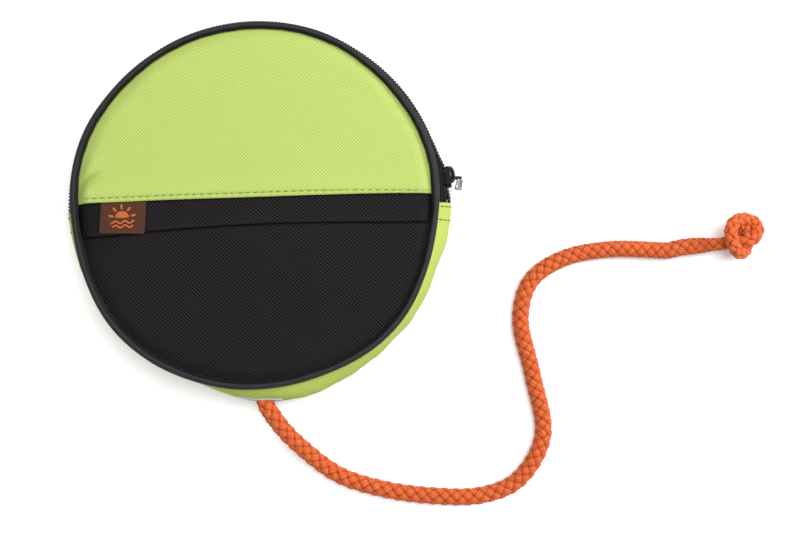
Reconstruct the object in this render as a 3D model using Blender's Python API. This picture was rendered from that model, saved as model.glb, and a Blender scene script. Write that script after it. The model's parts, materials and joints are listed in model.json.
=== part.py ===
"""Round zipped throw pouch with a knotted throw rope.

Frame: origin at the centre of the flat back face, +Z out through the front
face, +X along the hem seam of the front, +Y towards the middle of the zip.
The rope leaves the gusset at -Y and lies on the same plane as the back face.
Lengths are in millimetres and angles in degrees; they become metres when an
object is made. "Right" is +X and "left" is -X.
"""
import math
from bisect import bisect_left
from typing import NamedTuple

import bmesh
import bpy
from mathutils import Matrix, Vector

MM = 0.001                # metres in a millimetre

# ---------------------------------------------------------------- dimensions
GAP = 0.3                 # clearance kept between neighbouring pieces
STEP_A = 5.0              # facet angle of the round pieces
SMOOTH_A = 40.0           # edges that bend more than this are shaded sharp

# front and back
FACE_R = 87.8             # outer radius of the flat front and back panels
BACK_Z = (0.0, 1.8)       # back panel
PANEL_Z = (28.8, 30.4)    # lime front fabric
BACKING_Z = (27.2, 28.2)  # inner wall behind the pocket
BACKING_R = FACE_R - GAP
POCKET_Z = (28.5, 29.6)   # black lower front fabric
POCKET_TOP_Y = -3.0       # its upper edge, under the band
HEM_EDGE_Y = 3.2          # lower edge of the lime hem

PIPING_R = 90.2           # centre-line radius of both piping cords
PIPING_TUBE = 2.0         # radius of the piping cord
PIPING_SIDES = 6
PIPING_PHASE = 0.5        # turn of the cord's section, in radians
PIPING_BACK_Z = 2.25
PIPING_FRONT_Z = 30.0

# seam bindings: radius range, z range
BACK_BINDING = ((87.2, 88.8), (4.9, 7.3))
FRONT_BINDING = ((87.0, 88.6), (24.4, 26.8))

# opening part of the front
FLAP_HINGE_Y = 17.0       # fold line
FLAP_HINGE_Z = 32.4
FLAP_EDGE_Y = FLAP_HINGE_Y + 0.35
FIXED_EDGE_Y = FLAP_HINGE_Y - GAP
FLAP_A0 = 11.4            # the opening arc runs from here ...
FLAP_A1 = 180.0 - FLAP_A0  # ... to here
SPLIT_A = 0.3             # gap between opening and fixed arcs
FLAP_ARC = (FLAP_A0, FLAP_A1)
FIXED_ARC = (FLAP_A1 + SPLIT_A, 360.0 + FLAP_A0 - SPLIT_A)

# folded black band over the pocket mouth, and its label
BAND_HINGE_Y = 3.0        # the line the band lifts about
BAND_HINGE_Z = 32.5
BAND_R = FACE_R - 0.4
BAND_DEPTH = 13.0
BAND_TOP_Y = BAND_HINGE_Y - GAP
BAND_Z = (29.9, 31.2)
LABEL_Z = (31.5, 32.1)
LABEL_WIDTH = 23.0
LABEL_DEPTH = 15.0
LABEL_X = -66.5           # centre of the label along the hem

# zip
ZIP_A0 = -1.9             # the zip runs from here over the +Y side ...
ZIP_A1 = 180.0 - ZIP_A0   # ... to here
ZIP_Z = 16.0              # height of the zip centre line
COIL_R = (95.7, 97.5)
COIL_HALF_GAP = 0.7       # half the clear slot between the two coils
COIL_W = 2.0
COIL_CHAMFER = (0.4, 0.6)  # across the radius, along z
COIL_INSET_A = 1.6        # how far the coils stop short of the zip's ends
STOP_INSETS_A = (0.2, 1.2)  # near and far side of a stop, from the zip's end
STOP_TAPER = 0.3
TAPE_T = 0.8
BACK_EDGE = ZIP_Z - COIL_HALF_GAP
FRONT_EDGE = ZIP_Z + COIL_HALF_GAP
TAPE_R = COIL_R[0] - GAP

# gusset: outer face as (radius, z), from the back seam to the front seam
GUSSET_LINE = ((91.2, 4.7), (94.6, 8.2), (96.9, 12.2), (97.5, 16.0),
               (96.9, 19.8), (94.6, 23.8), (91.2, 27.3))
GUSSET_T = 1.2
GUSSET_CLEAR_A = 0.4      # gap between gusset and zip ends

# zip tapes: outer faces as (radius, z), from back to front
BACK_TAPE_LINE = (GUSSET_LINE[0], (94.0, 7.8), (TAPE_R, 10.8), (TAPE_R, BACK_EDGE))
FRONT_TAPE_LINE = ((TAPE_R, FRONT_EDGE), (TAPE_R, 21.2), (94.0, 24.2), GUSSET_LINE[-1])

# patch round the rope: outer face as (radius, z)
PATCH_LINE = ((96.9, 9.0), (98.4, 12.4), (98.9, 16.0), (98.4, 19.6), (96.9, 23.0))
PATCH_T = 0.9
PATCH_ARC = (258.5, 276.5)
PATCH_STEP_A = 3.0

# rope hole through the gusset and patch
HOLE_R = 5.5
HOLE_Y = -97.0
HOLE_DEPTH = 24.0
HOLE_SIDES = 16

# slider
SLIDER_A = 6.5            # angle of the slider at rest
SLIDER_HALF_A = 3.55      # half the slider's length as an angle
SLIDER_STEP_A = 2.0
SLIDER_TOP = 98.9
# section as (radius, z): inner plate, post between the coils, and outer plate
# with turned-in flanges
SLIDER_SECTION = (
    (93.2, 12.4), (94.25, 12.4), (94.25, 15.6), (97.8, 15.6), (97.8, 12.8), (95.8, 12.8),
    (95.8, 11.8), (SLIDER_TOP - 0.4, 11.8), (SLIDER_TOP, 12.6), (SLIDER_TOP, 19.4),
    (SLIDER_TOP - 0.4, 20.2), (95.8, 20.2), (95.8, 19.2), (97.8, 19.2), (97.8, 16.4),
    (94.25, 16.4), (94.25, 19.6), (93.2, 19.6))
# bridge outline as (radial, along the travel)
BRIDGE_ARCH = (
    (98.5, -3.2), (100.2, -3.2), (101.3, -2.2), (101.3, 2.2), (100.2, 3.2), (98.5, 3.2),
    (98.5, 2.0), (100.0, 2.0), (100.5, 1.6), (100.5, -1.6), (100.0, -2.0), (98.5, -2.0))
BRIDGE_HALF_W = 0.6

# pull tab
TAB_R = 99.6              # distance of the tab's pin from the bag axis
TAB_TILT = -68.0          # turn from the radial, towards the zip's right end
TAB_HALF_T = 0.4
# outline as (away from the pin, along z from the pin)
TAB_PLATE = (
    (-0.45, -2.6), (7.0, -2.6), (8.2, -1.6), (8.2, 1.6), (7.0, 2.6), (-0.45, 2.6),
    (-0.45, 1.5), (3.4, 1.5), (3.4, -1.5), (-0.45, -1.5))
PIN_HALF_T = 0.35
PIN_HALF_LENGTH = 2.2

# rope; places along it are distances from where it leaves the gusset
ROPE_R = 4.6
ROPE_END_R = 4.3          # radius at the rim of a rounded or hollow end
ROPE_SOCKET_R = 4.95      # hollow in front of each rounded end
ROPE_SOCKET_LENGTH = 6.5  # from a bend to the first full ring after it
ROPE_BALL_LENGTH = 5.0    # from the last full ring to the bend after it
ROPE_SOCKET_RINGS = 3
ROPE_BALL_RINGS = 4
ROPE_SIDES = 10
ROPE_STEP = 4.2           # spacing of the rings along the rope
ROPE_START = -12.0        # inner end of the rope, inside the bag
ROPE_BENDS = (10.0, 42.0, 88.0, 134.0, 180.0, 226.0, 272.0, 318.0)
ROPE_KNOT_AT = 361.0      # the rope enters its end knot here
ROPE_X = -1.5             # where the rope leaves the gusset
ROPE_LAY_Z = 4.7          # height of the rope's centre where it lies flat
ROPE_SINK_FROM = 2.0      # the rope starts to sink here ...
ROPE_SINK_LENGTH = 50.0   # ... and lies flat after this length
# turning points of the rope on the ground plane, x and y
ROPE_LAY = (
    (ROPE_X, -80.0), (ROPE_X, -90.0), (ROPE_X, -99.0), (4.0, -109.5),
    (13.0, -121.5), (32.0, -139.0), (54.5, -148.0), (84.0, -153.5),
    (109.0, -154.0), (127.5, -147.0), (141.5, -125.0), (137.5, -92.0),
    (132.5, -62.5), (138.5, -43.5), (155.5, -32.5), (180.0, -28.5),
    (211.5, -30.5), (235.5, -27.5), (246.0, -25.0),
)
ROPE_ZERO = 2             # index of the lay point that is zero along the rope
CURVE_STEPS = 24          # curve steps between two lay points
KNOT_FOLDS = 3            # raised strands round a knot


# ---------------------------------------------------------------- materials
class Look(NamedTuple):
    colour: tuple
    roughness: float
    metallic: float = 0.0


LIME = Look(colour=(0.52, 0.68, 0.09), roughness=0.85)
BLACK = Look(colour=(0.018, 0.017, 0.018), roughness=0.9)
BLACK_METAL = BLACK._replace(metallic=0.6)
CHARCOAL = Look(colour=(0.045, 0.043, 0.046), roughness=0.8)
ORANGE = Look(colour=(0.80, 0.17, 0.035), roughness=0.75)
BROWN = Look(colour=(0.045, 0.025, 0.018), roughness=0.9)
GREY = Look(colour=(0.42, 0.42, 0.42), roughness=0.85)
STEEL = Look(colour=(0.35, 0.34, 0.33), roughness=0.35, metallic=1.0)


def make_material(name, look):
    mat = bpy.data.materials.new(name)
    mat.use_nodes = True
    inputs = mat.node_tree.nodes["Principled BSDF"].inputs
    inputs["Base Color"].default_value = (*look.colour, 1.0)
    inputs["Roughness"].default_value = look.roughness
    inputs["Metallic"].default_value = look.metallic
    mat.diffuse_color = (*look.colour, 1.0)
    return mat


# ---------------------------------------------------------------- objects
def joint_empty(name, at):
    empty = bpy.data.objects.new(name, None)
    empty.empty_display_size = 0.01
    empty.location = [v * MM for v in at]
    bpy.context.scene.collection.objects.link(empty)
    return empty


def add_piece(name, bm, look, parent=None):
    """Turns a bmesh in millimetres into an object with its own material; a
    moving piece is parented to the empty on its joint axis."""
    bmesh.ops.recalc_face_normals(bm, faces=bm.faces)
    origin = parent.location.copy() if parent else Vector((0.0, 0.0, 0.0))
    for vert in bm.verts:
        vert.co = vert.co * MM - origin
    mesh = bpy.data.meshes.new(name)
    bm.to_mesh(mesh)
    bm.free()
    obj = bpy.data.objects.new(name, mesh)
    bpy.context.scene.collection.objects.link(obj)
    obj.parent = parent
    mesh.materials.append(make_material(name, look))
    mesh.shade_smooth()
    mesh.set_sharp_from_angle(angle=math.radians(SMOOTH_A))
    return obj


def boolean(obj, helper, operation):
    """Cuts or joins obj with a helper that is hidden in renders."""
    helper.hide_render = True
    helper.display_type = 'WIRE'
    mod = obj.modifiers.new(operation.lower(), 'BOOLEAN')
    mod.operation = operation
    mod.solver = 'EXACT'
    mod.object = helper


# ---------------------------------------------------------------- shapes
def loft(rings, closed=False):
    """Joins equal rings of points into one skin; open lofts get end caps."""
    bm = bmesh.new()
    rows = [[bm.verts.new(p) for p in ring] for ring in rings]
    count = len(rows[0])
    pairs = list(zip(rows, rows[1:]))
    if closed:
        pairs.append((rows[-1], rows[0]))
    for low, high in pairs:
        for i in range(count):
            j = (i + 1) % count
            bm.faces.new((low[i], low[j], high[j], high[i]))
    if not closed:
        bm.faces.new(rows[0])
        bm.faces.new(list(reversed(rows[-1])))
    return bm


def slab(outline, z_range):
    """Flat piece with an (x, y) outline."""
    return loft([[Vector((x, y, z)) for x, y in outline] for z in z_range])


def polar(radius, angle, z):
    a = math.radians(angle)
    return Vector((radius * math.cos(a), radius * math.sin(a), z))


def arc_angles(start, end, step=STEP_A):
    """The two ends of an arc and the whole facet angles between them, leaving
    out any that would make a sliver at an end."""
    margin = 0.35 * step
    whole = [k * step for k in range(math.floor(start / step), math.ceil(end / step) + 1)]
    return [start] + [a for a in whole if start + margin < a < end - margin] + [end]


def revolve(profile, arc=None, step=STEP_A):
    """Sweeps a closed (radius, z) outline round the Z axis, all round or
    along an arc (start, end)."""
    if arc is None:
        angles = [k * step for k in range(int(round(360.0 / step)))]
    else:
        angles = arc_angles(*arc, step)
    return loft([[polar(r, a, z) for r, z in profile] for a in angles], closed=arc is None)


def rectangle(first, second):
    """Corners of a rectangle from its ranges along two axes."""
    return [(first[0], second[0]), (first[1], second[0]),
            (first[1], second[1]), (first[0], second[1])]


def piping_profile(z):
    turns = [2 * math.pi * k / PIPING_SIDES + PIPING_PHASE for k in range(PIPING_SIDES)]
    return [(PIPING_R + PIPING_TUBE * math.cos(a), z + PIPING_TUBE * math.sin(a))
            for a in turns]


def strip_profile(line, thickness):
    """Closed outline of a strip of fabric whose outer face follows a
    (radius, z) line of rising z; the inner face is offset along its normals."""
    inner = []
    for i, (r, z) in enumerate(line):
        r0, z0 = line[max(i - 1, 0)]
        r1, z1 = line[min(i + 1, len(line) - 1)]
        dr, dz = r1 - r0, z1 - z0
        size = math.hypot(dr, dz)
        inner.append((r - dz / size * thickness, z + dr / size * thickness))
    return list(line) + inner[::-1]


def disc_part(radius, y_low=None, y_high=None):
    """Outline of the part of a disc that lies between two chords."""
    merge = 0.05
    low = -90.0 if y_low is None else math.degrees(math.asin(y_low / radius))
    high = 90.0 if y_high is None else math.degrees(math.asin(y_high / radius))
    points = []
    for a in arc_angles(low, high) + arc_angles(180.0 - high, 180.0 - low):
        p = (radius * math.cos(math.radians(a)), radius * math.sin(math.radians(a)))
        if not points or math.dist(p, points[-1]) > merge:
            points.append(p)
    if math.dist(points[0], points[-1]) < merge:
        points.pop()
    return points


# ---------------------------------------------------------------- back and gusset
def build_back():
    add_piece("back_panel", slab(disc_part(FACE_R), BACK_Z), BLACK)
    add_piece("back_piping", revolve(piping_profile(PIPING_BACK_Z)), CHARCOAL)
    add_piece("back_seam_binding", revolve(rectangle(*BACK_BINDING)), BLACK)


def cut_rope_hole(target):
    bm = bmesh.new()
    bmesh.ops.create_cone(bm, cap_ends=True, segments=HOLE_SIDES, radius1=HOLE_R,
                          radius2=HOLE_R, depth=HOLE_DEPTH,
                          matrix=Matrix.Translation((ROPE_X, HOLE_Y, ZIP_Z))
                          @ Matrix.Rotation(math.radians(90.0), 4, 'X'))
    boolean(target, add_piece("hole_" + target.name, bm, BLACK), 'DIFFERENCE')


def build_gusset():
    arc = (ZIP_A1 + GUSSET_CLEAR_A, 360.0 + ZIP_A0 - GUSSET_CLEAR_A)
    gusset = add_piece("gusset_lower", revolve(strip_profile(GUSSET_LINE, GUSSET_T), arc), LIME)
    patch = add_piece("rope_exit_patch",
                      revolve(strip_profile(PATCH_LINE, PATCH_T), PATCH_ARC, PATCH_STEP_A), GREY)
    cut_rope_hole(gusset)
    cut_rope_hole(patch)


# ---------------------------------------------------------------- zip
def coil_profile(z0, z1):
    inner, outer = COIL_R
    cut_r, cut_z = COIL_CHAMFER
    return [(inner, z0), (outer - cut_r, z0), (outer, z0 + cut_z),
            (outer, z1 - cut_z), (outer - cut_r, z1), (inner, z1)]


def build_zip_sides(flap_axis):
    """Tapes and coils; the front ones are split where the front opens."""
    parts = (
        ("tape", strip_profile(BACK_TAPE_LINE, TAPE_T), strip_profile(FRONT_TAPE_LINE, TAPE_T),
         ZIP_A0, ZIP_A1),
        ("coil", coil_profile(BACK_EDGE - COIL_W, BACK_EDGE),
         coil_profile(FRONT_EDGE, FRONT_EDGE + COIL_W),
         ZIP_A0 + COIL_INSET_A, ZIP_A1 - COIL_INSET_A),
    )
    for part, back, front, start, end in parts:
        name = "zip_" + part
        add_piece(name + "_back", revolve(back, (start, end)), BLACK)
        add_piece(name + "_front_right_end", revolve(front, (start, FLAP_A0 - SPLIT_A)), BLACK)
        add_piece(name + "_front_left_end", revolve(front, (FLAP_A1 + SPLIT_A, end)), BLACK)
        add_piece(name + "_front", revolve(front, FLAP_ARC), BLACK, flap_axis)


def build_zip_stops():
    low, high = BACK_EDGE - COIL_W, FRONT_EDGE + COIL_W
    profile = [(COIL_R[0], low), (COIL_R[1], low + STOP_TAPER),
               (COIL_R[1], high - STOP_TAPER), (COIL_R[0], high)]
    near, far = STOP_INSETS_A
    add_piece("zip_stop_right", revolve(profile, (ZIP_A0 + near, ZIP_A0 + far)), STEEL)
    add_piece("zip_stop_left", revolve(profile, (ZIP_A1 - far, ZIP_A1 - near)), STEEL)


def build_slider():
    axis = joint_empty("slider_axis", (0.0, 0.0, ZIP_Z))
    arc = (SLIDER_A - SLIDER_HALF_A, SLIDER_A + SLIDER_HALF_A)
    slider = add_piece("slider_body", revolve(SLIDER_SECTION, arc, SLIDER_STEP_A),
                       BLACK_METAL, axis)
    # the bridge arches over the outer plate
    bm = slab(BRIDGE_ARCH, (ZIP_Z - BRIDGE_HALF_W, ZIP_Z + BRIDGE_HALF_W))
    bm.transform(Matrix.Rotation(math.radians(SLIDER_A), 4, 'Z'))
    boolean(slider, add_piece("slider_bridge", bm, BLACK_METAL, axis), 'UNION')


def build_pull_tab():
    """Grip plate with two arms, and a pin through the bridge."""
    pivot = Matrix.Rotation(math.radians(SLIDER_A), 4, 'Z') @ Vector((TAB_R, 0.0, ZIP_Z))
    axis = joint_empty("tab_axis", pivot)
    turn = (Matrix.Translation(pivot)
            @ Matrix.Rotation(math.radians(SLIDER_A + TAB_TILT), 4, 'Z'))
    bm = loft([[Vector((x, y, z)) for x, z in TAB_PLATE] for y in (-TAB_HALF_T, TAB_HALF_T)])
    bm.transform(turn)
    tab = add_piece("pull_tab", bm, STEEL, axis)
    side = (-PIN_HALF_T, PIN_HALF_T)
    bm = slab(rectangle(side, side), (-PIN_HALF_LENGTH, PIN_HALF_LENGTH))
    bm.transform(turn)
    boolean(tab, add_piece("pull_tab_pin", bm, STEEL, axis), 'UNION')


# ---------------------------------------------------------------- front
def build_front_panels(flap_axis):
    add_piece("front_upper_panel", slab(disc_part(FACE_R, y_low=FLAP_EDGE_Y), PANEL_Z),
              LIME, flap_axis)
    add_piece("front_hem_panel", slab(disc_part(FACE_R, HEM_EDGE_Y, FIXED_EDGE_Y), PANEL_Z), LIME)
    add_piece("front_backing_panel",
              slab(disc_part(BACKING_R, y_high=FIXED_EDGE_Y), BACKING_Z), BLACK)
    add_piece("front_pocket_panel",
              slab(disc_part(FACE_R, y_high=POCKET_TOP_Y), POCKET_Z), BLACK)


def build_front_edge(flap_axis):
    """Piping and seam binding, each split into an opening and a fixed arc."""
    for name, profile, look in (
            ("front_piping", piping_profile(PIPING_FRONT_Z), CHARCOAL),
            ("front_seam_binding", rectangle(*FRONT_BINDING), BLACK)):
        add_piece(name + "_upper", revolve(profile, FLAP_ARC), look, flap_axis)
        add_piece(name + "_lower", revolve(profile, FIXED_ARC), look)


def build_pocket_band():
    axis = joint_empty("band_axis", (0.0, BAND_HINGE_Y, BAND_HINGE_Z))
    add_piece("pocket_band",
              slab(disc_part(BAND_R, BAND_TOP_Y - BAND_DEPTH, BAND_TOP_Y), BAND_Z), BLACK, axis)
    outline = rectangle((LABEL_X - LABEL_WIDTH / 2, LABEL_X + LABEL_WIDTH / 2),
                        (BAND_TOP_Y - LABEL_DEPTH, BAND_TOP_Y))
    add_piece("woven_label", slab(outline, LABEL_Z), BROWN, axis)


# ---------------------------------------------------------------- rope
def curve_points(points):
    """Centripetal Catmull-Rom curve through the given points."""
    pts = [points[0] * 2 - points[1]] + points + [points[-1] * 2 - points[-2]]
    curve = []
    for i in range(1, len(pts) - 2):
        p = pts[i - 1:i + 3]
        t = [0.0]
        for start, end in zip(p, p[1:]):
            t.append(t[-1] + math.sqrt((end - start).length))
        for k in range(CURVE_STEPS):
            now = t[1] + (t[2] - t[1]) * k / CURVE_STEPS
            first, middle, last = [p[j].lerp(p[j + 1], (now - t[j]) / (t[j + 1] - t[j]))
                                   for j in range(3)]
            before = first.lerp(middle, (now - t[0]) / (t[2] - t[0]))
            after = middle.lerp(last, (now - t[1]) / (t[3] - t[1]))
            curve.append(before.lerp(after, (now - t[1]) / (t[2] - t[1])))
    curve.append(pts[-2])
    return curve


def path_distances(path):
    """Distance along the rope of each path point."""
    distances = [0.0]
    for start, end in zip(path, path[1:]):
        distances.append(distances[-1] + (end - start).length)
    zero = distances[ROPE_ZERO * CURVE_STEPS]
    return [d - zero for d in distances]


ROPE_PATH = curve_points([Vector((x, y, 0.0)) for x, y in ROPE_LAY])
ROPE_DISTANCES = path_distances(ROPE_PATH)


def ease(t):
    t = min(max(t, 0.0), 1.0)
    return t * t * (3.0 - 2.0 * t)


def rope_at(s):
    """Centre of the rope at a distance s from where it leaves the gusset."""
    i = min(max(bisect_left(ROPE_DISTANCES, s) - 1, 0), len(ROPE_DISTANCES) - 2)
    start, end = ROPE_DISTANCES[i:i + 2]
    p = ROPE_PATH[i].lerp(ROPE_PATH[i + 1], (s - start) / (end - start))
    p.z = ZIP_Z + (ROPE_LAY_Z - ZIP_Z) * ease((s - ROPE_SINK_FROM) / ROPE_SINK_LENGTH)
    return p


def rope_ring(s, radius=ROPE_R, ahead=0.0):
    """Ring square to the rope at s, moved ahead along the tangent."""
    tangent = (rope_at(s + 0.5) - rope_at(s - 0.5)).normalized()
    side = Vector((0.0, 0.0, 1.0)).cross(tangent).normalized()
    up = tangent.cross(side)
    centre = rope_at(s) + tangent * ahead
    turns = [2 * math.pi * k / ROPE_SIDES for k in range(ROPE_SIDES)]
    return [centre + (side * math.cos(a) + up * math.sin(a)) * radius for a in turns]


def rope_piece(s0, s1, socket, ball):
    """A length of rope: an optional hollow end round the bend at s0 and an
    optional rounded end about the bend at s1."""
    if socket:
        rim = math.asin(ROPE_END_R / ROPE_SOCKET_R)
        angles = [rim * k / ROPE_SOCKET_RINGS for k in range(1, ROPE_SOCKET_RINGS + 1)]
        rings = [rope_ring(s0, ROPE_SOCKET_R * math.sin(a), ROPE_SOCKET_R * math.cos(a))
                 for a in angles]
        start = s0 + ROPE_SOCKET_LENGTH
    else:
        rings = [rope_ring(s0)]
        start = s0 + ROPE_STEP
    end = s1 - ROPE_BALL_LENGTH if ball else s1
    count = max(1, int(round((end - start) / ROPE_STEP)))
    rings += [rope_ring(start + (end - start) * k / count) for k in range(count + 1)]
    if ball:
        angles = [math.radians(90.0) * k / ROPE_BALL_RINGS for k in range(ROPE_BALL_RINGS)]
        rings += [rope_ring(s1, ROPE_END_R * math.cos(a), ROPE_END_R * math.sin(a))
                  for a in angles]
    return loft(rings)


def lumpy_knot(centre, half, depth, turns, columns, rows):
    """Closed knot body: an ellipsoid whose surface is wound by raised strands.
    depth is the groove between strands, turns how far they wind with height."""
    bm = bmesh.new()
    x, y, z = centre
    bottom = bm.verts.new((x, y, z - half[2]))
    top = bm.verts.new((x, y, z + half[2]))
    grid = []
    for i in range(1, rows):
        lat = math.pi * i / rows - math.pi / 2
        row = []
        for j in range(columns):
            lon = 2 * math.pi * j / columns
            groove = 0.5 + 0.5 * math.cos(KNOT_FOLDS * lon + turns * lat)
            reach = (1.0 - depth * groove * math.cos(lat)) * math.cos(lat)
            row.append(bm.verts.new((x + half[0] * reach * math.cos(lon),
                                     y + half[1] * reach * math.sin(lon),
                                     z + half[2] * math.sin(lat))))
        grid.append(row)
    for j in range(columns):
        k = (j + 1) % columns
        bm.faces.new((bottom, grid[0][k], grid[0][j]))
        bm.faces.new((top, grid[-1][j], grid[-1][k]))
        for low, high in zip(grid, grid[1:]):
            bm.faces.new((low[j], low[k], high[k], high[j]))
    return bm


def build_rope_root():
    """Stopper knot inside the bag and the fixed rope through the gusset."""
    knot = lumpy_knot(centre=(ROPE_X, -78.0, ZIP_Z), half=(9.5, 8.5, 8.5),
                      depth=0.16, turns=2.0, columns=16, rows=10)
    add_piece("rope_stopper_knot", knot, ORANGE)
    root = rope_piece(ROPE_START, ROPE_BENDS[0], socket=False, ball=True)
    add_piece("rope_root", root, ORANGE)


def build_rope_lengths():
    """Lengths that each turn about their own bend; the last holds the knot."""
    ends = ROPE_BENDS[1:] + (ROPE_KNOT_AT,)
    for number, (s0, s1) in enumerate(zip(ROPE_BENDS, ends), start=1):
        axis = joint_empty(f"rope_axis_{number}", rope_at(s0))
        piece = rope_piece(s0, s1, socket=True, ball=number < len(ends))
        add_piece(f"rope_{number}", piece, ORANGE, axis)
    knot = lumpy_knot(centre=(248.0, -24.2, 11.2), half=(13.2, 11.6, 10.8),
                      depth=0.2, turns=2.5, columns=20, rows=12)
    add_piece("rope_end_knot", knot, ORANGE, axis)


# ---------------------------------------------------------------- build
def build():
    for old in list(bpy.data.objects):
        bpy.data.objects.remove(old, do_unlink=True)
    flap_axis = joint_empty("flap_axis", (0.0, FLAP_HINGE_Y, FLAP_HINGE_Z))
    build_back()
    build_gusset()
    build_zip_sides(flap_axis)
    build_zip_stops()
    build_slider()
    build_pull_tab()
    build_front_panels(flap_axis)
    build_front_edge(flap_axis)
    build_pocket_band()
    build_rope_root()
    build_rope_lengths()


build()
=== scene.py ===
"""Looks of a round zipped throw pouch and its braided rope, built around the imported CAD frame.

The pouch lies on its back. The origin is the centre of the back face, +Z points out of the front
and +X runs along the hem. A lime fabric covers the +Y part of the front and a black pocket the
rest. The zip runs round the side at +Y; the rope leaves the side at -Y and ends in a knot at +X.

Lengths are in millimetres and angles in degrees until a mesh is made, unless a name says otherwise.
"""
import json
import math

import bpy
import numpy as np
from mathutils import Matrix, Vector, noise
from mathutils.geometry import delaunay_2d_cdt


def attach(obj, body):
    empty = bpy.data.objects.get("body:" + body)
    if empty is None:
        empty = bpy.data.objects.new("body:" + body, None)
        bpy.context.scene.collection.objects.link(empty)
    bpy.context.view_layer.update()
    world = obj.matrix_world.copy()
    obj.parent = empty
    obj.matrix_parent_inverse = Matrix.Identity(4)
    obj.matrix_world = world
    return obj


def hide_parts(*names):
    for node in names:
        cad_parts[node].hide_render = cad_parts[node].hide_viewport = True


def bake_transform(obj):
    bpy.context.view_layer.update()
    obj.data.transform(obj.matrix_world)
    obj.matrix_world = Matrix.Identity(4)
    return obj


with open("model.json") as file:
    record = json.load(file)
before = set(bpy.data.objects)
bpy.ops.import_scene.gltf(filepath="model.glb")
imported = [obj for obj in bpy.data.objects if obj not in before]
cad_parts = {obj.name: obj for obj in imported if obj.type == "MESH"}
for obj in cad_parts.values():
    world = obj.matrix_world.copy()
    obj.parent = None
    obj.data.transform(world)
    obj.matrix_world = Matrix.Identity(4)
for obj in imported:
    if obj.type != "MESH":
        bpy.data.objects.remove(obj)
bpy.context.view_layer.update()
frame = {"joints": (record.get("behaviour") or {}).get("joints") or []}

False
TAU = math.tau

# ------------------------------------------------------------------ shared dimensions
JOINTS = {joint["name"]: joint for joint in frame["joints"]}
ZIP_Z = JOINTS["zip_slider_travel"]["pos_m"][2] * 1000.0
TAB_PIN = Vector(JOINTS["pull_tab_hinge"]["pos_m"]) * 1000.0

PANEL_RADIUS = 89.3                     # front fabrics, up to the piping
PIPING_FRONT_Z = 30.0
PIPING_BACK_Z = 2.3
UV_RADIUS = 95.0                        # lengths round the side are measured at this radius
ZIP_START, ZIP_END = -1.9, 181.9
GUSSET_START, GUSSET_END = 179.4, 359.1
PATCH_START, PATCH_END = 261.3, 274.6

# Two bodies, and the places in metres between which the cloth passes from one to the other
BAG_TO_FLAP = ("bag", "front_flap", (0.0, 0.012, 0.030), (0.0, 0.040, 0.030))
BAND_LEFT = ("bag", "pocket_flap", (-0.087, 0, 0.031), (-0.032, 0, 0.031))
BAND_RIGHT = ("bag", "pocket_flap", (0.087, 0, 0.031), (0.032, 0, 0.031))


# ------------------------------------------------------------------ small maths
def smooth_step(share):
    share = np.clip(share, 0.0, 1.0)
    return share * share * (3.0 - 2.0 * share)


def bell(distance, width):
    """1 at no distance, fading to both sides over the width."""
    return np.exp(-(distance / width) ** 2)


def lookup(place, table):
    """Value at a place in a table of (place, value)."""
    return np.interp(place, *zip(*table))


def signed_power(value, power):
    """Squares off a sine or cosine, so that a circle turns into a rounded box."""
    return math.copysign(abs(value) ** power, value)


def wrap(angle, turn):
    """The angle brought to within half a turn of zero."""
    return (angle + turn / 2) % turn - turn / 2


def unit(vectors):
    vectors = np.asarray(vectors, float)
    return vectors / np.linalg.norm(vectors, axis=-1, keepdims=True)


def arc_length(points):
    return np.r_[0, np.cumsum(np.linalg.norm(np.diff(points, axis=0), axis=1))]


def nearest(points, place):
    return int(np.argmin(np.linalg.norm(points - np.array(place), axis=1)))


def polar(radius, angle, z):
    angle = math.radians(angle)
    return radius * math.cos(angle), radius * math.sin(angle), z


# ------------------------------------------------------------------ form of the bag
# (cosine, sine) parts of the front seam's distance from a true circle; 1, 2, 3... waves per turn
OUT_OF_ROUND = (
    (-0.65, 0.49), (0.27, 0.53), (-0.01, -0.10), (-0.48, -0.23),
    (0.08, 0.51), (-0.09, 0.12), (0.11, 0.34))

# (x, y) of the free edge of the lime fabric
HEM = (
    (-92.0, 4.6), (-88.0, 5.0), (-84.0, 5.3), (-78.0, 5.35), (-68.0, 5.25), (-48.0, 5.3),
    (-28.0, 5.15), (-8.0, 4.9), (12.0, 4.72), (32.0, 4.55), (52.0, 4.3), (72.0, 3.85),
    (82.0, 3.4), (90.0, 3.0))


def out_of_round(angle):
    """How far the front seam stands out of a true circle at an angle in radians."""
    offset = np.full_like(angle, 0.45)
    for i, (cosine, sine) in enumerate(OUT_OF_ROUND):
        offset = offset + cosine * np.cos((i + 1) * angle) + sine * np.sin((i + 1) * angle)
    return offset


def warp(points):
    """Pulls true circles to the hand-sewn outline; the zip line stays on its track."""
    points = np.asarray(points, float).copy()
    radius = np.hypot(points[:, 0], points[:, 1])
    angle = np.arctan2(points[:, 1], points[:, 0])
    front = np.clip((points[:, 2] - 18.0) / 9.0, 0.0, 1.0) ** 1.3
    back = np.clip((14.0 - points[:, 2]) / 9.0, 0.0, 1.0) ** 1.3
    offset = out_of_round(angle) * front + 0.6 * out_of_round(angle + 0.7) * back
    offset = offset * np.clip(radius / 91.0, 0.0, 1.1) ** 3
    scale = np.where(radius > 1e-6, (radius + offset) / np.maximum(radius, 1e-6), 1.0)
    points[:, :2] *= scale[:, None]
    return points


def warped(point):
    return warp([point])[0]


def base_height(x, y):
    """Outer surface of the lower front fabric: sewn down at the piping, crowned in the middle."""
    radius = np.hypot(x, y)
    height = 28.7 + 1.7 * smooth_step((89.2 - radius) / 6.5)
    height = height + 2.3 * (1.0 - np.clip(radius / 89.0, 0, 1) ** 2)
    lumps = np.sin(x / 23.0 + 0.6) * np.cos(y / 31.0 - 0.4)
    return height + 0.22 * lumps * smooth_step((86.0 - radius) / 22.0)


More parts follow.
